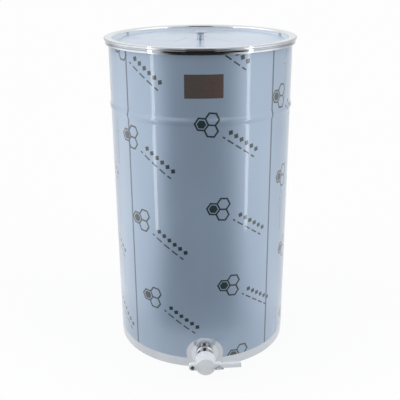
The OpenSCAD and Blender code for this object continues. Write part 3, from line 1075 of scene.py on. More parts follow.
@dataclass
class Drum:
    """The rolled drum with its bead and rim, its welded seam, its film and its sticker."""

    radius: float
    height: float
    sheet: float = 0.8 * MM
    floor_fit: float = 0.05 * MM
    rim_radius: float = 4.4 * MM
    rim_height: float = 10.2 * MM
    rim_shoulder: float = 2.2 * MM
    rim_corner: float = 1.4 * MM
    rim_slit: float = 0.6 * MM
    bead_drop: float = 165 * MM
    bead_half: float = 13 * MM
    bead_proud: float = 2.8 * MM
    seam_width: float = 4 * MM
    seam_proud: float = 0.3 * MM
    film: float = 0.25 * MM
    film_fit: float = 0.05 * MM
    film_low: float = 26 * MM
    film_top_gap: float = 1.2 * MM
    film_patch: float = 48.7 * MM
    film_seam_gap: float = 40 * MM
    sticker: float = 0.25 * MM
    outlet_height: float = 40 * MM
    outlet_hole: float = 21 * MM
    # Distances between the wall's rings of vertices, and steps of the turns
    fine_zone: float = 104 * MM
    fine_step: float = 8 * MM
    coarse_step: float = 40 * MM
    ring_gap: float = 1 * MM
    bead_steps: int = 20
    seam_steps: int = 6
    sticker_steps: int = 32
    steps: int = 256

    @classmethod
    def from_frame(cls) -> "Drum":
        """Takes the drum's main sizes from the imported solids."""
        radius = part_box("tank_floor")[1].x + cls.floor_fit + cls.sheet
        return cls(radius=radius, height=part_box("tank_shell")[1].z)

    def film_top(self) -> float:
        """Gives the height at which the film and the seam end under the rim."""
        return self.height - self.rim_height - self.film_top_gap

    def levels(self, low: float, high: float) -> list[float]:
        """Gives the heights of the wall's rings of vertices, closer at the outlet and the bead.

        Args:
            low: Height of the lowest ring.
            high: Height of the highest ring.

        Returns:
            The heights from low to high.
        """
        bead = self.height - self.bead_drop
        fine = [i * self.fine_step for i in range(1, round(self.fine_zone / self.fine_step))]
        shares = [2 * i / self.bead_steps - 1 for i in range(self.bead_steps + 1)]
        swell = [bead + self.bead_half * share for share in shares]
        coarse = [self.fine_zone + i * self.coarse_step for i in range(round(high / self.coarse_step))]
        plain = [z for z in coarse if not swell[0] - self.fine_step < z < swell[-1] + self.fine_step]
        first, last = low + self.ring_gap, high - self.ring_gap
        inner = sorted(z for z in fine + swell + plain if first < z < last)
        return [low, *inner, high]

    def wall(self, offset: float, low: float, high: float) -> Outline:
        """Gives the wall's outer line, with its bead.

        Args:
            offset: How far the line is moved out.
            low: Height at which it starts.
            high: Height at which it ends.

        Returns:
            The points from low to high.
        """
        bead = self.height - self.bead_drop
        line = []
        for z in self.levels(low, high):
            share = (z - bead) / self.bead_half
            swell = self.bead_proud * math.cos(QUARTER_TURN * share) ** 2 if abs(share) < 1 else 0.0
            line.append((self.radius + offset + swell, z))
        return line

    def outlet_tool(self, radius: float) -> bpy.types.Object:
        """Makes a bar to cut through the front wall around the outlet's axis."""
        tool = Bench.rod("outlet_tool", radius, self.radius / 2, self.radius * 3 / 2)
        return Bench.place(tool, Vector((0, 0, self.outlet_height)), (QUARTER_TURN, 0, 0))

    def rim(self, inset: float) -> Outline:
        """Gives the rolled rim's line from the wall over the top and down to its lower corner.

        Args:
            inset: How far the line lies inside the rim's outer face.

        Returns:
            The points from the wall outwards.
        """
        inside = self.radius - self.sheet
        edge = inside + 2 * self.rim_radius
        turn = (inside + self.rim_radius, self.height - self.rim_radius)
        shoulder = (edge - self.rim_shoulder, self.height - self.rim_shoulder)
        corner = (edge - self.rim_corner, self.height - self.rim_height + self.rim_corner)
        line = arc(turn, self.rim_radius - inset, 180, 90, 12)
        line += arc(shoulder, self.rim_shoulder - inset, 90, 0, 10)
        return line + arc(corner, self.rim_corner - inset, 0, -90, 8)

    def build_wall(self, shop: Shop) -> None:
        """Rolls the drum, with its bead and its rim, and cuts the hole for the outlet.

        Args:
            shop: The shared finishes.
        """
        bottom, top = self.height - self.rim_height, self.height - self.rim_radius
        hem = self.radius + self.rim_slit
        outline = self.wall(0.0, 0.0, top)[:-1]
        outline += self.rim(self.sheet) + [(hem, bottom + self.sheet), (hem, bottom)]
        outline += list(reversed(self.rim(0.0)))[:-1]
        outline += reversed(self.wall(-self.sheet, 0.0, top))
        wall = Bench.lathe("drum_wall", outline, self.steps)
        Bench.work(wall, self.outlet_tool(self.outlet_hole), Join.CUT)
        deliver(wall, Seat(Body.TANK, Slot.STAINLESS, ("tank_shell",)), shop.rolled)

    def build_seam(self, shop: Shop) -> None:
        """Lays the welded seam down the back of the drum.

        Args:
            shop: The shared finishes.
        """
        half = self.seam_width / 2 / self.radius
        start = QUARTER_TURN - half
        outline = self.wall(-self.sheet / 2, 0.0, self.film_top())
        outline += reversed(self.wall(self.seam_proud, 0.0, self.film_top()))
        seam = Bench.lathe("drum_seam", outline, self.seam_steps, 2 * half, start, solid_ends=True)
        deliver(seam, Seat(Body.TANK, Slot.STAINLESS), shop.weld)

    def build_film(self) -> None:
        """Lays the film on the wall, trimmed around the outlet and along the seam."""
        outline = self.wall(self.film_fit, self.film_low, self.film_top())
        outline += reversed(self.wall(self.film_fit + self.film, self.film_low, self.film_top()))
        gap = self.film_seam_gap / self.radius
        turn, start = FULL_TURN - gap, QUARTER_TURN + gap / 2
        skin = Bench.lathe("drum_film", outline, self.steps, turn, start, solid_ends=True)
        Bench.work(skin, self.outlet_tool(self.film_patch), Join.CUT)
        finish = FilmFinish("drum_film", srgb(157, 177, 200), FilmPrint(self.radius))
        deliver(skin, Seat(Body.TANK, Slot.FILM, ("body_film",)), finish.material())

    def build_sticker(self) -> None:
        """Sticks the plain sticker on the film."""
        low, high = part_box("label_sticker")
        inner = self.radius + 2 * self.film_fit + self.film
        outer = inner + self.sticker
        half = math.asin(high.x / inner)
        turn, start = 2 * half, -QUARTER_TURN - half
        outline = [(inner, low.z), (outer, low.z), (outer, high.z), (inner, high.z)]
        paper = Bench.lathe("front_sticker", outline, self.sticker_steps, turn, start, solid_ends=True)
        finish = StickerFinish("sticker_paper", (low.z + high.z) / 2)
        deliver(paper, Seat(Body.TANK, Slot.STICKER, ("label_sticker",)), finish.material())

    def build(self, shop: Shop) -> None:
        """Builds and dresses all of the drum.

        Args:
            shop: The shared finishes.
        """
        self.build_wall(shop)
        self.build_seam(shop)
        self.build_film()
        self.build_sticker()


@dataclass
class Outlet:
    """The steel outlet pipe with its weld and its thread, drawn along its own axis."""

    base: Vector
    end: float
    radius: float = 20.95 * MM
    bore: float = 17.5 * MM
    weld_leg: float = 3.5 * MM
    sink: float = 1.4 * MM
    thread_start: float = 27 * MM
    thread_margin: float = 1.8 * MM
    thread_depth: float = 1.3 * MM
    pitch: float = 2.309 * MM
    relief: float = 1.2 * MM
    steps: int = 128

    @classmethod
    def from_frame(cls, drum: Drum) -> "Outlet":
        """Takes the outlet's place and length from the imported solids."""
        low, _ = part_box("outlet_stub")
        return cls(base=Vector((0, -drum.radius, drum.outlet_height)), end=-low.y - drum.radius)

    def settle(self, piece: bpy.types.Object) -> bpy.types.Object:
        """Turns a piece that is drawn upright out of the drum and moves it to the outlet."""
        return Bench.place(piece, self.base, (QUARTER_TURN, 0, 0))

    def build_pipe(self, shop: Shop) -> None:
        """Turns the pipe, its front cut down to the thread's root.

        Args:
            shop: The shared finishes.
        """
        root = self.radius - self.thread_depth
        outline = [(self.bore, -self.sink), (self.radius, -self.sink)]
        outline += [(self.radius, self.thread_start), (root, self.thread_start + self.relief)]
        outline += [(root, self.end - self.relief), (root - self.relief, self.end)]
        outline += [(self.bore, self.end)]
        pipe = self.settle(Bench.lathe("outlet_pipe", outline, self.steps))
        deliver(pipe, Seat(Body.TANK, Slot.STAINLESS, ("outlet_stub",)), shop.polished)

    def build_thread(self, shop: Shop) -> None:
        """Winds the thread on the pipe's front.

        Args:
            shop: The shared finishes.
        """
        low = self.thread_start + self.thread_margin
        turns = int((self.end - self.thread_margin - low) / self.pitch)
        ridge = Bench.thread("outlet_thread", self.radius, self.thread_depth, self.pitch, low, turns)
        deliver(self.settle(ridge), Seat(Body.TANK, Slot.STAINLESS), shop.polished)

    def build_weld(self, shop: Shop) -> None:
        """Lays the hollow weld around the pipe's foot.

        Args:
            shop: The shared finishes.
        """
        foot, inner = self.radius + self.weld_leg, self.radius - self.sink / 2
        outline = [(inner, -self.sink), (foot, -self.sink), (foot, 0.0)]
        outline += arc((foot, self.weld_leg), self.weld_leg, 270, 180, 8)[1:]
        outline += [(inner, self.weld_leg)]
        weld = self.settle(Bench.lathe("outlet_weld", outline, self.steps))
        deliver(weld, Seat(Body.TANK, Slot.STAINLESS), shop.weld)

    def build(self, shop: Shop) -> None:
        """Builds and dresses the pipe, its thread and its weld.

        Args:
            shop: The shared finishes.
        """
        self.build_pipe(shop)
        self.build_thread(shop)
        self.build_weld(shop)


@dataclass
class HoneyGate:
    """The white gate: a housing on the outlet's thread and a flap that swings on a bolt."""

    outlet: Outlet
    seat: float
    front: float
    collar_radius: float = 26.5 * MM
    collar_length: float = 17 * MM
    collar_start: float = 26 * MM
    collar_round: float = 2.5 * MM
    # Angle in degrees at which the collar's front rounding runs into the neck
    collar_sweep: float = 70
    socket_play: float = 0.1 * MM
    gasket: float = 2 * MM
    neck_radius: float = 24.8 * MM
    neck_lap: float = 1 * MM
    ear_thickness: float = 8 * MM
    ear_radius: float = 9.5 * MM
    bolt_x: float = 34.3 * MM
    disc_radius: float = 24.5 * MM
    disc_round: float = 1.2 * MM
    handle_reach: float = 91.5 * MM
    handle_depth: float = 10 * MM
    handle_half: float = 6.3 * MM
    handle_corner: float = 2 * MM
    handle_rise: float = math.radians(2)
    handle_gap: float = 1.5 * MM
    slot_half: float = 3 * MM
    # Length of the slot below the bolt, as a share of the ear's radius
    slot_run: float = 1.6
    bolt_hole: float = 2.55 * MM
    edge: float = 0.9 * MM
    # How far the bars lie behind the faces that they join, so that no two faces coincide
    ear_flush: float = 0.02 * MM
    lug_flush: float = 0.03 * MM
    hole_steps: int = 32
    steps: int = 128

    @classmethod
    def from_frame(cls, outlet: Outlet) -> "HoneyGate":
        """Takes the seat's and the flap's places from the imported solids.

        Args:
            outlet: Outlet that carries the gate.

        Returns:
            The gate, ready to build.
        """
        wall = -outlet.base.y
        seat, front = (-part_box(node)[0].y - wall for node in ("gate_body", "gate_plate"))
        return cls(outlet=outlet, seat=seat, front=front)

    def ear_bar(self) -> Outline:
        """Gives the outline of the bar that carries both bolts.

        Returns:
            The points in order round.
        """
        right = arc((self.bolt_x, 0), self.ear_radius, -90, 90, 24)
        left = arc((-self.bolt_x, 0), self.ear_radius, 90, 270, 24)
        return right + left

    def build_housing(self, shop: Shop) -> None:
        """Moulds the housing: collar, neck and two ears.

        Args:
            shop: The shared finishes.
        """
        start, ring_end = self.collar_start, self.collar_start + self.collar_length
        turn = self.collar_radius - self.collar_round
        bore = self.outlet.bore
        socket, socket_end = self.outlet.radius + self.socket_play, self.outlet.end + self.gasket
        outline = [(socket, socket_end), (socket, start)]
        outline += arc((turn, start + self.collar_round), self.collar_round, -90, 0, 8)
        outline += arc((turn, ring_end - self.collar_round), self.collar_round, 0, self.collar_sweep, 7)
        outline += [(self.neck_radius, ring_end + self.edge)]
        outline += arc((self.neck_radius - self.edge, self.seat - self.edge), self.edge, 0, 90, 5)
        outline += [(bore, self.seat), (bore, socket_end)]
        housing = Bench.lathe("gate_housing", outline, self.steps)
        back, face = self.seat - self.ear_thickness, self.seat - self.ear_flush
        bar = Bench.soften(Bench.plate("ear_bar", self.ear_bar(), back, face), self.edge)
        neck = Bench.rod("neck_tool", self.neck_radius - self.neck_lap, 0.0, self.front)
        Bench.work(housing, Bench.work(bar, neck, Join.CUT), Join.ADD)
        for side in (-1, 1):
            hole = Bench.rod("hole_tool", self.bolt_hole, 0.0, self.front, self.hole_steps)
            Bench.work(housing, Bench.place(hole, Vector((side * self.bolt_x, 0, 0))), Join.CUT)
        seat = Seat(Body.TANK, Slot.PLASTIC, ("gate_body",))
        deliver(self.outlet.settle(housing), seat, shop.plastic)

    def handle(self) -> Outline:
        """Gives the outline of the straight handle, from the lock bolt to its rounded corners.

        Returns:
            The points in order round.
        """
        turn = self.handle_corner
        x, y = self.handle_reach - self.bolt_x - turn, self.handle_half - turn
        outline = [(0, self.handle_half), (0, -self.handle_half)]
        return outline + arc((x, -y), turn, -90, 0, 6) + arc((x, y), turn, 0, 90, 6)

    def lock_slot(self) -> Outline:
        """Gives the outline of the arc slot around the pivot, open at the lower edge.

        Returns:
            The points in order round.
        """
        span = 2 * self.bolt_x
        drop = math.degrees(self.slot_run * self.ear_radius / span)
        outer = arc((-self.bolt_x, 0), span + self.slot_half, -drop, 0, 10)
        mouth = arc((self.bolt_x, 0), self.slot_half, 0, 180, 16)
        return outer + mouth[1:-1] + arc((-self.bolt_x, 0), span - self.slot_half, 0, -drop, 10)

    def lever(self, pivot: Vector) -> bpy.types.Object:
        """Moulds the handle, raised a little and cut clear of the ear that it swings past.

        Args:
            pivot: Place of the pivot bolt.

        Returns:
            The handle, drawn along the outlet's axis.
        """
        span = 2 * self.bolt_x
        place = pivot + span * Vector((math.cos(self.handle_rise), math.sin(self.handle_rise), 0))
        low, high = self.front - self.handle_depth, self.front - 2 * self.lug_flush
        lever = Bench.soften(Bench.plate("handle_bar", self.handle(), low, high), self.edge)
        Bench.place(lever, place, (0, 0, self.handle_rise))
        reach = span + self.ear_radius + self.handle_gap
        clear = Bench.rod("ear_tool", reach, 0.0, self.seat + 2 * self.lug_flush)
        return Bench.work(lever, Bench.place(clear, pivot), Join.CUT)

    def build_flap(self, shop: Shop) -> None:
        """Moulds the flap: sealing disc, pivot lug, hooked lug and handle.

        Args:
            shop: The shared finishes.
        """
        turn = (self.disc_radius - self.disc_round, self.front - self.disc_round)
        outline = [(0, self.seat), (self.disc_radius, self.seat)]
        outline += arc(turn, self.disc_round, 0, 90, 6) + [(0, self.front)]
        flap = Bench.lathe("gate_flap", outline, self.steps)
        low, high = self.seat + self.lug_flush, self.front - self.lug_flush
        bar = Bench.plate("lug_bar", self.ear_bar(), low, high)
        Bench.work(flap, Bench.soften(bar, self.edge), Join.ADD)
        pivot = Vector((-self.bolt_x, 0, 0))
        Bench.work(flap, self.lever(pivot), Join.ADD)
        past = self.front + CUT_PAST
        slot = Bench.plate("slot_tool", self.lock_slot(), self.seat - CUT_PAST, past)
        Bench.work(flap, slot, Join.CUT)
        hole = Bench.rod("hole_tool", self.bolt_hole, 0.0, past, self.hole_steps)
        Bench.work(flap, Bench.place(hole, pivot), Join.CUT)
        seat = Seat(Body.GATE, Slot.PLASTIC, ("gate_plate",))
        deliver(self.outlet.settle(flap), seat, shop.plastic)

    def build(self, shop: Shop) -> None:
        """Builds and dresses the gate's two mouldings."""
        self.build_housing(shop)
        self.build_flap(shop)


@dataclass
class GateFasteners:
    """The gate's bolts, washers, locknut and wing nut, drawn along the outlet's axis."""

    gate: HoneyGate
    bolt_radius: float = 2.5 * MM
    thread_depth: float = 0.45 * MM
    pitch: float = 0.8 * MM
    hex_radius: float = 4.62 * MM
    # Rise of the cone that turns the corners off, past the block's own corners
    cone_rise: float = 0.58 * MM
    head: float = 3.5 * MM
    washer_radius: float = 5 * MM
    washer_edge: float = 0.25 * MM
    washer: float = 1 * MM
    nut: float = 5 * MM
    nut_hex: float = 3.5 * MM
    collar_inset: float = 0.2 * MM
    collar_foot: float = 1 * MM
    hub: float = 6 * MM
    hub_foot: float = 4.7 * MM
    hub_top: float = 3.9 * MM
    hub_edge: float = 0.4 * MM
    wing_span: float = 24 * MM
    wing_height: float = 9.4 * MM
    wing_thickness: float = 2.2 * MM
    wing_lobe: float = 3.8 * MM
    wing_foot: float = 1 * MM
    wing_edge: float = 0.6 * MM
    # Angles in degrees between which a wing's end is round
    lobe_arc: Span = (-110, 160)
    chamfer: float = 0.5 * MM
    bore: float = 2.55 * MM
    bolt_steps: int = 48
    steps: int = 64

    def bring(self, piece: bpy.types.Object, side: int) -> bpy.types.Object:
        """Moves a piece that is drawn on the axis to one of the two bolts and settles it."""
        Bench.place(piece, Vector((side * self.gate.bolt_x, 0, 0)))
        return self.gate.outlet.settle(piece)

    def head_face(self) -> float:
        """Gives the place of the rear washers' backs, which the bolts' heads lie on."""
        return self.gate.seat - self.gate.ear_thickness - self.washer

    def hexagon(self, name: str, low: float, high: float) -> bpy.types.Object:
        """Makes a six-sided block with its corners turned off at both ends.

        Args:
            name: Name of the new piece.
            low: Height of the lower face.
            high: Height of the upper face.

        Returns:
            The block.
        """
        block = Bench.plate(name, arc((0, 0), self.hex_radius, 0, 300, 5), low, high)
        reach, past = self.hex_radius - self.chamfer, self.hex_radius + CUT_PAST
        rise = self.chamfer + self.cone_rise
        turned = [(0, low), (reach, low), (past, low + rise)]
        turned += [(past, high - rise), (reach, high), (0, high)]
        return Bench.work(block, Bench.lathe("cone_tool", turned, self.steps), Join.SHARE)

    def build_bolt(self, name: str, node: str, side: int, shop: Shop) -> None:
        """Makes a bolt: a six-sided head behind the ear, a shank and a threaded end.

        Args:
            name: Name of the new piece.
            node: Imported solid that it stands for.
            side: -1 for the pivot's side, 1 for the lock's.
            shop: The shared finishes.
        """
        face, start = self.head_face(), self.gate.front
        end = -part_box(node)[0].y + self.gate.outlet.base.y
        root, foot = self.bolt_radius - self.thread_depth, face - self.chamfer
        bolt = self.hexagon(name, face - self.head, face)
        shank = [(0, foot), (self.bolt_radius, foot), (self.bolt_radius, start)]
        shank += [(root, start + self.thread_depth), (root, end - self.chamfer)]
        shank += [(root - self.chamfer, end), (0, end)]
        Bench.work(bolt, Bench.lathe("shank", shank, self.bolt_steps), Join.ADD)
        # The pivot's bolt gets the dark steel, a painted shade
        finish = shop.dark if side < 0 else shop.zinc
        deliver(self.bring(bolt, side), Seat(Body.TANK, Slot.ZINC, (node,)), finish)
        turns = int((end - start - 2 * self.chamfer) / self.pitch)
        ridge = Bench.thread(f"{name}_thread", self.bolt_radius, self.thread_depth, self.pitch,
                             start + self.chamfer, turns)
        deliver(self.bring(ridge, side), Seat(Body.TANK, Slot.ZINC), finish)

    def build_washers(self, shop: Shop) -> None:
        """Makes the four washers.

        Args:
            shop: The shared finishes.
        """
        front, behind = self.gate.front, self.head_face()
        places = (
            ("pivot_washer_ring", front, -1, Seat(Body.TANK, Slot.ZINC, ("pivot_washer",))),
            ("lock_washer_ring", front, 1, Seat(Body.WASHER, Slot.ZINC, ("lock_washer",))),
            ("pivot_head_washer", behind, -1, Seat(Body.TANK, Slot.ZINC, ("head_washers",))),
            ("lock_head_washer", behind, 1, Seat(Body.TANK, Slot.ZINC)),
        )
        rim, high, turn = self.washer_radius, self.washer, self.washer_edge
        outline = [(self.bore, 0), (rim - turn, 0), (rim, turn), (rim, high - turn)]
        outline += [(rim - turn, high), (self.bore, high)]
        ring = Bench.lathe("washer", outline, self.steps)
        for name, low, side, seat in places:
            washer = Bench.place(Bench.twin(ring, name), Vector((0, 0, low)))
            deliver(self.bring(washer, side), seat, shop.zinc)
        bpy.data.objects.remove(ring)

    def build_locknut(self, shop: Shop) -> None:
        """Makes the pivot's self-locking nut: six flats and a round collar.

        Args:
            shop: The shared finishes.
        """
        low = self.gate.front + self.washer
        foot, top = low + self.collar_foot, low + self.nut
        nut = self.hexagon("pivot_locknut", low, low + self.nut_hex)
        collar = self.hex_radius * math.cos(math.radians(30)) - self.collar_inset
        turn = (collar - self.chamfer, top - self.chamfer)
        outline = [(0, foot), (collar, foot), (collar, top - self.chamfer)]
        outline += arc(turn, self.chamfer, 0, 90, 5) + [(0, top)]
        Bench.work(nut, Bench.lathe("collar", outline, self.bolt_steps), Join.ADD)
        hole = Bench.rod("hole_tool", self.bore, low - CUT_PAST, top + CUT_PAST, self.bolt_steps)
        Bench.work(nut, hole, Join.CUT)
        # The locknut is painted dark, a painted shade for the shadow and dark reflections on it
        deliver(self.bring(nut, -1), Seat(Body.TANK, Slot.ZINC, ("pivot_nut",)), shop.dark)

    def wing(self, side: int) -> Outline:
        """Gives the outline of one wing, seen along its flat side.

        Args:
            side: -1 for the left wing, 1 for the right one.

        Returns:
            The points in order round.
        """
        lobe = (self.wing_span / 2 - self.wing_lobe, self.wing_height - self.wing_lobe)
        outline = [(0, self.wing_foot), (self.hub_foot, self.wing_foot)]
        outline += arc(lobe, self.wing_lobe, *self.lobe_arc, 20) + [(0, self.hub - self.wing_foot)]
        return [(side * x, z) for x, z in outline]

    def build_wing_nut(self, shop: Shop) -> None:
        """Makes the wing nut: a coned hub with two rounded wings.

        Args:
            shop: The shared finishes.
        """
        low, turn, half = self.gate.front + self.washer, self.hub_edge, self.wing_thickness / 2
        outline = [(0, 0), (self.hub_foot - turn, 0), (self.hub_foot, turn)]
        outline += [(self.hub_top + turn, self.hub - turn), (self.hub_top, self.hub), (0, self.hub)]
        nut = Bench.lathe("lock_wing_nut", outline, self.steps)
        for side in (-1, 1):
            wing = Bench.soften(Bench.plate("wing", self.wing(side), -half, half), self.wing_edge)
            Bench.place(wing, Vector((0, 0, 0)), (QUARTER_TURN, 0, 0))
            Bench.work(nut, wing, Join.ADD)
        past = self.wing_height + CUT_PAST
        hole = Bench.rod("hole_tool", self.bore, -CUT_PAST, past, self.bolt_steps)
        Bench.place(Bench.work(nut, hole, Join.CUT), Vector((0, 0, low)))
        deliver(self.bring(nut, 1), Seat(Body.NUT, Slot.ZINC, ("wing_nut",)), shop.zinc)

    def build(self, shop: Shop) -> None:
        """Builds and dresses all of the gate's fasteners.

        Args:
            shop: The shared finishes.
        """
        self.build_bolt("pivot_stud", "pivot_bolt", -1, shop)
        self.build_bolt("lock_stud", "lock_bolt", 1, shop)
        self.build_washers(shop)
        self.build_locknut(shop)
        self.build_wing_nut(shop)


@dataclass
class Lid:
    """The pressed lid with its curled edge, its film and its turned knob."""

    edge: float
    brim: float
    under: float
    inside: float
    top: float
    sheet: float = 0.8 * MM
    curl: float = 2.9 * MM
    wall_gap: float = 8.2 * MM
    brim_bend: float = 4.5 * MM
    panel_bend: float = 4 * MM
    # Rings of vertices on the panel, as shares of its radius
    panel_rings: tuple[float, ...] = (0.25, 0.5, 0.75)
    hole: float = 3.05 * MM
    film: float = 0.25 * MM
    film_fit: float = 0.05 * MM
    # Distance from the wall at which the film is painted palest, a painted brightening of the wall, and
    # heights at the bend where it gets clear
    pale_gap: float = 0.3 * MM
    clear_bend: Span = (-1 * MM, 0.5 * MM)
    knob_radius: float = 16.5 * MM
    knob_stem: float = 9 * MM
    knob_flare: float = 6.5 * MM
    knob_edge: float = 1.6 * MM
    knob_soft: float = 0.4 * MM
    knob_crown: float = 1.4 * MM
    # Share of the crown's half arc that is drawn, the rest being its softened edge
    crown_share: float = 0.97
    knob_steps: int = 96
    steps: int = 256

    @classmethod
    def from_frame(cls, drum: Drum) -> "Lid":
        """Takes the lid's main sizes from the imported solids.

        Args:
            drum: Drum that the lid lies on.

        Returns:
            The lid, ready to build.
        """
        low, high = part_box("lid_pan")
        return cls(edge=high.x, brim=high.z, under=low.z, inside=drum.radius - drum.sheet,
                   top=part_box("lid_knob")[1].z)

    def line(self, offset: float) -> Outline:
        """Gives the lid's line from the knob's hole out to the curl, over or under its upper face.

        Args:
            offset: Height over the upper face.

        Returns:
            The points from the hole outwards.
        """
        panel = self.under + self.sheet
        wall = self.inside - self.wall_gap - self.sheet
        foot, bend = wall - self.panel_bend, wall + self.brim_bend
        radii = [self.hole] + [share * foot for share in self.panel_rings]
        line = [(radius, panel + offset) for radius in radii]
        line += arc((foot, panel + self.panel_bend), self.panel_bend - offset, -90, 0, 10)
        line += arc((bend, self.brim - self.brim_bend), self.brim_bend + offset, 180, 90, 10)
        return line + [(self.edge - self.curl, self.brim + offset)]

    def build_sheet(self, shop: Shop) -> None:
        """Presses the lid, its edge curled under the brim.

        Args:
            shop: The shared finishes.
        """
        curl = (self.edge - self.curl, self.brim - self.curl)
        outline = self.line(0.0)[:-1] + arc(curl, self.curl, 90, -180, 30)
        outline += arc(curl, self.curl - self.sheet, -180, 90, 30)[:-1]
        outline += reversed(self.line(-self.sheet))
        sheet = Bench.lathe("lid_sheet", outline, self.steps)
        deliver(sheet, Seat(Body.LID, Slot.STAINLESS, ("lid_pan",)), shop.rolled)

    def build_skin(self) -> None:
        """Lays the film on the lid."""
        outline = self.line(self.film_fit) + list(reversed(self.line(self.film_fit + self.film)))
        skin = Bench.lathe("lid_skin", outline, self.steps)
        wall = self.inside - self.wall_gap - self.sheet - self.film
        # Radii of the painted light that makes the film paler on the pan's wall
        wall_lightening = (wall - self.panel_bend, wall - self.pale_gap)
        bend = self.brim - self.brim_bend
        clearing = (bend + self.clear_bend[0], bend + self.clear_bend[1])
        finish = LidFilmFinish("lid_film", srgb(199, 218, 240), wall_lightening, clearing)
        deliver(skin, Seat(Body.LID, Slot.LID_FILM, ("lid_film",)), finish.material())

    def build_knob(self, shop: Shop) -> None:
        """Turns the knob: foot, stem, flare and crowned top.

        Args:
            shop: The shared finishes.
        """
        low = self.under + self.sheet + self.film_fit + self.film
        rim_low = self.top - self.knob_crown - self.knob_edge
        soft = self.knob_soft
        crown = (self.knob_radius ** 2 + self.knob_crown ** 2) / (2 * self.knob_crown)
        half = math.degrees(math.asin(self.knob_radius / crown))
        flare = (self.knob_stem + self.knob_flare, rim_low - self.knob_flare)
        outline = [(0, low), (self.knob_stem - soft, low), (self.knob_stem, low + soft)]
        outline += arc(flare, self.knob_flare, 180, 90, 14)
        outline += arc((self.knob_radius - soft, rim_low + soft), soft, -90, 0, 4)
        outline += [(self.knob_radius, rim_low + self.knob_edge - soft)]
        outline += arc((0, self.top - crown), crown, 90 - self.crown_share * half, 90, 12)
        knob = Bench.lathe("lid_knob_turned", outline, self.knob_steps)
        deliver(knob, Seat(Body.LID, Slot.POLISHED, ("lid_knob",)), shop.turned)

    def build(self, shop: Shop) -> None:
        """Builds and dresses all of the lid.

        Args:
            shop: The shared finishes.
        """
        self.build_sheet(shop)
        self.build_skin()
        self.build_knob(shop)


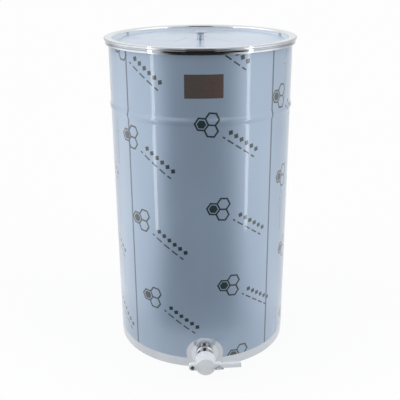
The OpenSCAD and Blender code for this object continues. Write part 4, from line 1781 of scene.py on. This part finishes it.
@dataclass(frozen=True)
class Studio:
    """A white table between two bright screens, with a dark room floor in front of it.

    Lengths are in metres, headings are turns from the camera's side, and a level of 1 is white.
    """

    # Camera, as the photograph was taken
    camera_heading: float = math.radians(-1.85)
    camera_distance: float = 1.7484
    camera_height: float = 1.0506
    camera_tilt: float = math.radians(20.768)
    camera_yaw: float = math.radians(0.107)
    camera_roll: float = -0.0061
    lens: float = 60.09
    sensor: float = 36.0
    # Levels of the room around the object
    dark_level: float = 0.03
    room_level: float = 0.72
    back_level: float = 0.85
    screen_level: float = 1.5
    # Headings and heights over which the room's front, its sides, the camera stand and the horizon end
    front_half: Span = (math.radians(40), math.radians(62))
    back_half: Span = (math.radians(95), math.radians(125))
    back_turn: float = math.radians(-10)
    column_half: Span = (math.radians(16), math.radians(20))
    column_top: Span = (0.75, 0.9)
    horizon: Span = (0.1, 0.2)
    # The table: its edge, its level in mirror images and on matt surfaces, and its shadow
    floor_size: float = 30.0
    table_edge: Span = (0.36, 0.455)
    table_level: float = 0.9
    matt_level: float = 0.42
    table_colour: Colour = (0.95, 0.95, 0.96)
    shadow_share: float = 0.1
    # The floor beyond the table, dark in front and brighter outwards at the sides
    floor_half: Span = (math.radians(26), math.radians(68))
    floor_turn: float = math.radians(-3)
    floor_rise: Span = (0.4, 1.5)
    near_level: float = 1.15
    # The far floor, darker everywhere but at the back
    far_floor: Span = (5.4, 5.8)
    far_front: Span = (math.radians(45), math.radians(55))
    far_turn: float = math.radians(5)
    far_back: Span = (math.radians(130), math.radians(155))
    far_drop: float = 0.45
    # The two strip lights
    strip_heading: float = math.radians(54.0)
    strip_distance: float = 1.1
    strip_size: Point = (0.08, 1.15)
    strip_radiance: float = 4.2

    def heading(self, board: Board, x: Value, y: Value, turn: float = 0.0) -> Value:
        """Gives how far a direction lies from the camera's side, or from a turned one."""
        return abs(board.math("ARCTAN2", x, -y) - (self.camera_heading + turn))

    def grey(self, board: Board, level: Value) -> bpy.types.NodeSocket:
        """Gives the colour of a light of this level, for a lamp as strong as the screens."""
        return board.blend(level / self.screen_level, BLACK, WHITE)

    def build_world(self) -> None:
        """Lights the studio: white to the camera, elsewhere a bright room with a dark camera stand."""
        world = bpy.data.worlds.new("studio")
        world.use_nodes = True
        bpy.context.scene.world = world
        board = Board(world.node_tree)
        direction = board.add("ShaderNodeTexCoord", {}, {}).outputs["Generated"]
        x, y, up = board.split(direction)
        heading = self.heading(board, x, y)
        rear = self.heading(board, x, y, self.back_turn).fade(*self.back_half)
        low = 1 - up.fade(*self.column_top)
        column = (1 - heading.fade(*self.column_half)) * low
        side = heading.fade(*self.front_half)
        front = (1 - side) * (1 - up.fade(*self.horizon))
        level = self.room_level + side * (1 - rear) * low * (self.screen_level - self.room_level)
        level = level + rear * (self.back_level - self.room_level)
        level = level + column.most(front) * (self.dark_level - level)
        seen = Value(board, board.add("ShaderNodeLightPath", {}, {}).outputs["Is Camera Ray"])
        shown = self.grey(board, level + seen * (1 - level))
        light = board.add("ShaderNodeBackground", {}, {"Color": shown, "Strength": self.screen_level})
        board.add("ShaderNodeOutputWorld", {}, {"Surface": light.outputs[0]})

    def floor_level(self, board: Board, matt: Value) -> Value:
        """Gives the floor's brightness as the object sees it.

        Args:
            board: Board of the floor's material.
            matt: 1 for light that falls on matt surfaces, 0 for mirror images.

        Returns:
            The brightness: a white table, dark beyond it in front, screens at its sides.
        """
        place = board.add("ShaderNodeTexCoord", {}, {}).outputs["Object"]
        x, y, _ = board.split(place)
        reach = board.length(x, y)
        beyond = reach.fade(*self.table_edge)
        rear = self.heading(board, x, y, self.back_turn).fade(*self.back_half)
        far = reach.fade(*self.far_floor)
        side = self.heading(board, x, y, self.floor_turn).fade(*self.floor_half)
        side = side + far * (self.heading(board, x, y, self.far_turn).fade(*self.far_front) - side)
        bright = self.near_level + reach.fade(*self.floor_rise) * (self.screen_level - self.near_level)
        outside = self.dark_level + side * (bright - self.dark_level)
        outside = outside + rear * (self.back_level - outside)
        behind = self.heading(board, x, y).fade(*self.far_back)
        outside = outside * (1 - self.far_drop * (1 - behind) * far)
        level = self.table_level + beyond * (outside - self.table_level)
        return level + matt * (self.matt_level - level)

    def floor_material(self) -> bpy.types.Material:
        """Mixes the white table: white with a soft shadow to the camera, a lit table to the object.

        Returns:
            The table's material.
        """
        material = bpy.data.materials.new("white_table")
        material.use_nodes = True
        board = Board(material.node_tree)
        rays = board.add("ShaderNodeLightPath", {}, {})
        level = self.floor_level(board, Value(board, rays.outputs["Is Diffuse Ray"]))
        shown = self.grey(board, level)
        glow = board.add("ShaderNodeEmission", {}, {"Color": shown, "Strength": self.screen_level})
        white = board.add("ShaderNodeEmission", {}, {"Color": WHITE, "Strength": 1.0})
        matt = board.add("ShaderNodeBsdfDiffuse", {}, {"Color": self.table_colour})
        sockets = {0: self.shadow_share, 1: white.outputs[0], 2: matt.outputs[0]}
        shaded = board.add("ShaderNodeMixShader", {}, sockets)
        seen = rays.outputs["Is Camera Ray"]
        both = board.add("ShaderNodeMixShader", {}, {0: seen, 1: glow.outputs[0], 2: shaded.outputs[0]})
        board.add("ShaderNodeOutputMaterial", {}, {"Surface": both.outputs[0]})
        return material

    def build_floor(self) -> None:
        """Lays the white table under the drum."""
        Bench.take()
        bpy.ops.mesh.primitive_plane_add(size=self.floor_size)
        floor = bpy.context.object
        floor.name = "white_table"
        floor.data.materials.append(self.floor_material())

    def build_strips(self) -> None:
        """Stands a strip light on each side, in front of the bright walls."""
        width, height = self.strip_size
        for side in (-1, 1):
            heading = self.camera_heading + side * self.strip_heading
            place = Vector((math.sin(heading), -math.cos(heading), 0)) * self.strip_distance
            bpy.ops.object.light_add(type="AREA", location=place + Vector((0, 0, height / 2)))
            strip = bpy.context.object
            strip.name = f"strip_light_{'left' if side < 0 else 'right'}"
            strip.rotation_euler = (QUARTER_TURN, 0, heading)
            strip.data.shape = "RECTANGLE"
            strip.data.size, strip.data.size_y = width, height
            strip.data.energy = self.strip_radiance * math.pi * width * height
            strip.visible_camera = False

    def build_camera(self) -> None:
        """Sets the camera where the photograph was taken from."""
        ahead = Vector((math.sin(self.camera_heading), -math.cos(self.camera_heading), 0))
        place = ahead * self.camera_distance + Vector((0, 0, self.camera_height))
        Bench.take()
        bpy.ops.object.camera_add(location=place)
        camera = bpy.context.object
        camera.name = "photo_camera"
        turn = Matrix.Rotation(self.camera_heading + self.camera_yaw, 3, "Z")
        turn = turn @ Matrix.Rotation(QUARTER_TURN - self.camera_tilt, 3, "X")
        turn = turn @ Matrix.Rotation(self.camera_roll, 3, "Z")
        camera.rotation_euler = turn.to_euler()
        camera.data.lens = self.lens
        camera.data.sensor_width = self.sensor
        bpy.context.scene.camera = camera

    def build(self) -> None:
        """Builds the studio."""
        self.build_world()
        self.build_floor()
        self.build_strips()
        self.build_camera()
        bpy.context.scene.view_settings.view_transform = "Standard"


def dress_nodes(shop: Shop) -> None:
    """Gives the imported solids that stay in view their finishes.

    Args:
        shop: The shared finishes.
    """
    finishes = (
        ("tank_floor", shop.rolled),
        ("outlet_gasket", shop.rubber),
        ("knob_washer", shop.zinc),
        ("knob_screw", shop.zinc),
    )
    for name, material in finishes:
        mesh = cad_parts[name].data
        mesh.materials.clear()
        mesh.materials.append(material)
        log.info("%s: kept from the frame", name)


def main() -> None:
    """Builds the pieces in order, then the studio."""
    logging.basicConfig(level=logging.INFO, format="%(name)s %(message)s")
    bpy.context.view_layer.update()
    shop = Shop.open()
    drum = Drum.from_frame()
    outlet = Outlet.from_frame(drum)
    gate = HoneyGate.from_frame(outlet)
    for assembly in (drum, outlet, gate, GateFasteners(gate), Lid.from_frame(drum)):
        assembly.build(shop)
    dress_nodes(shop)
    Studio().build()


if __name__ == "__main__":
    main()
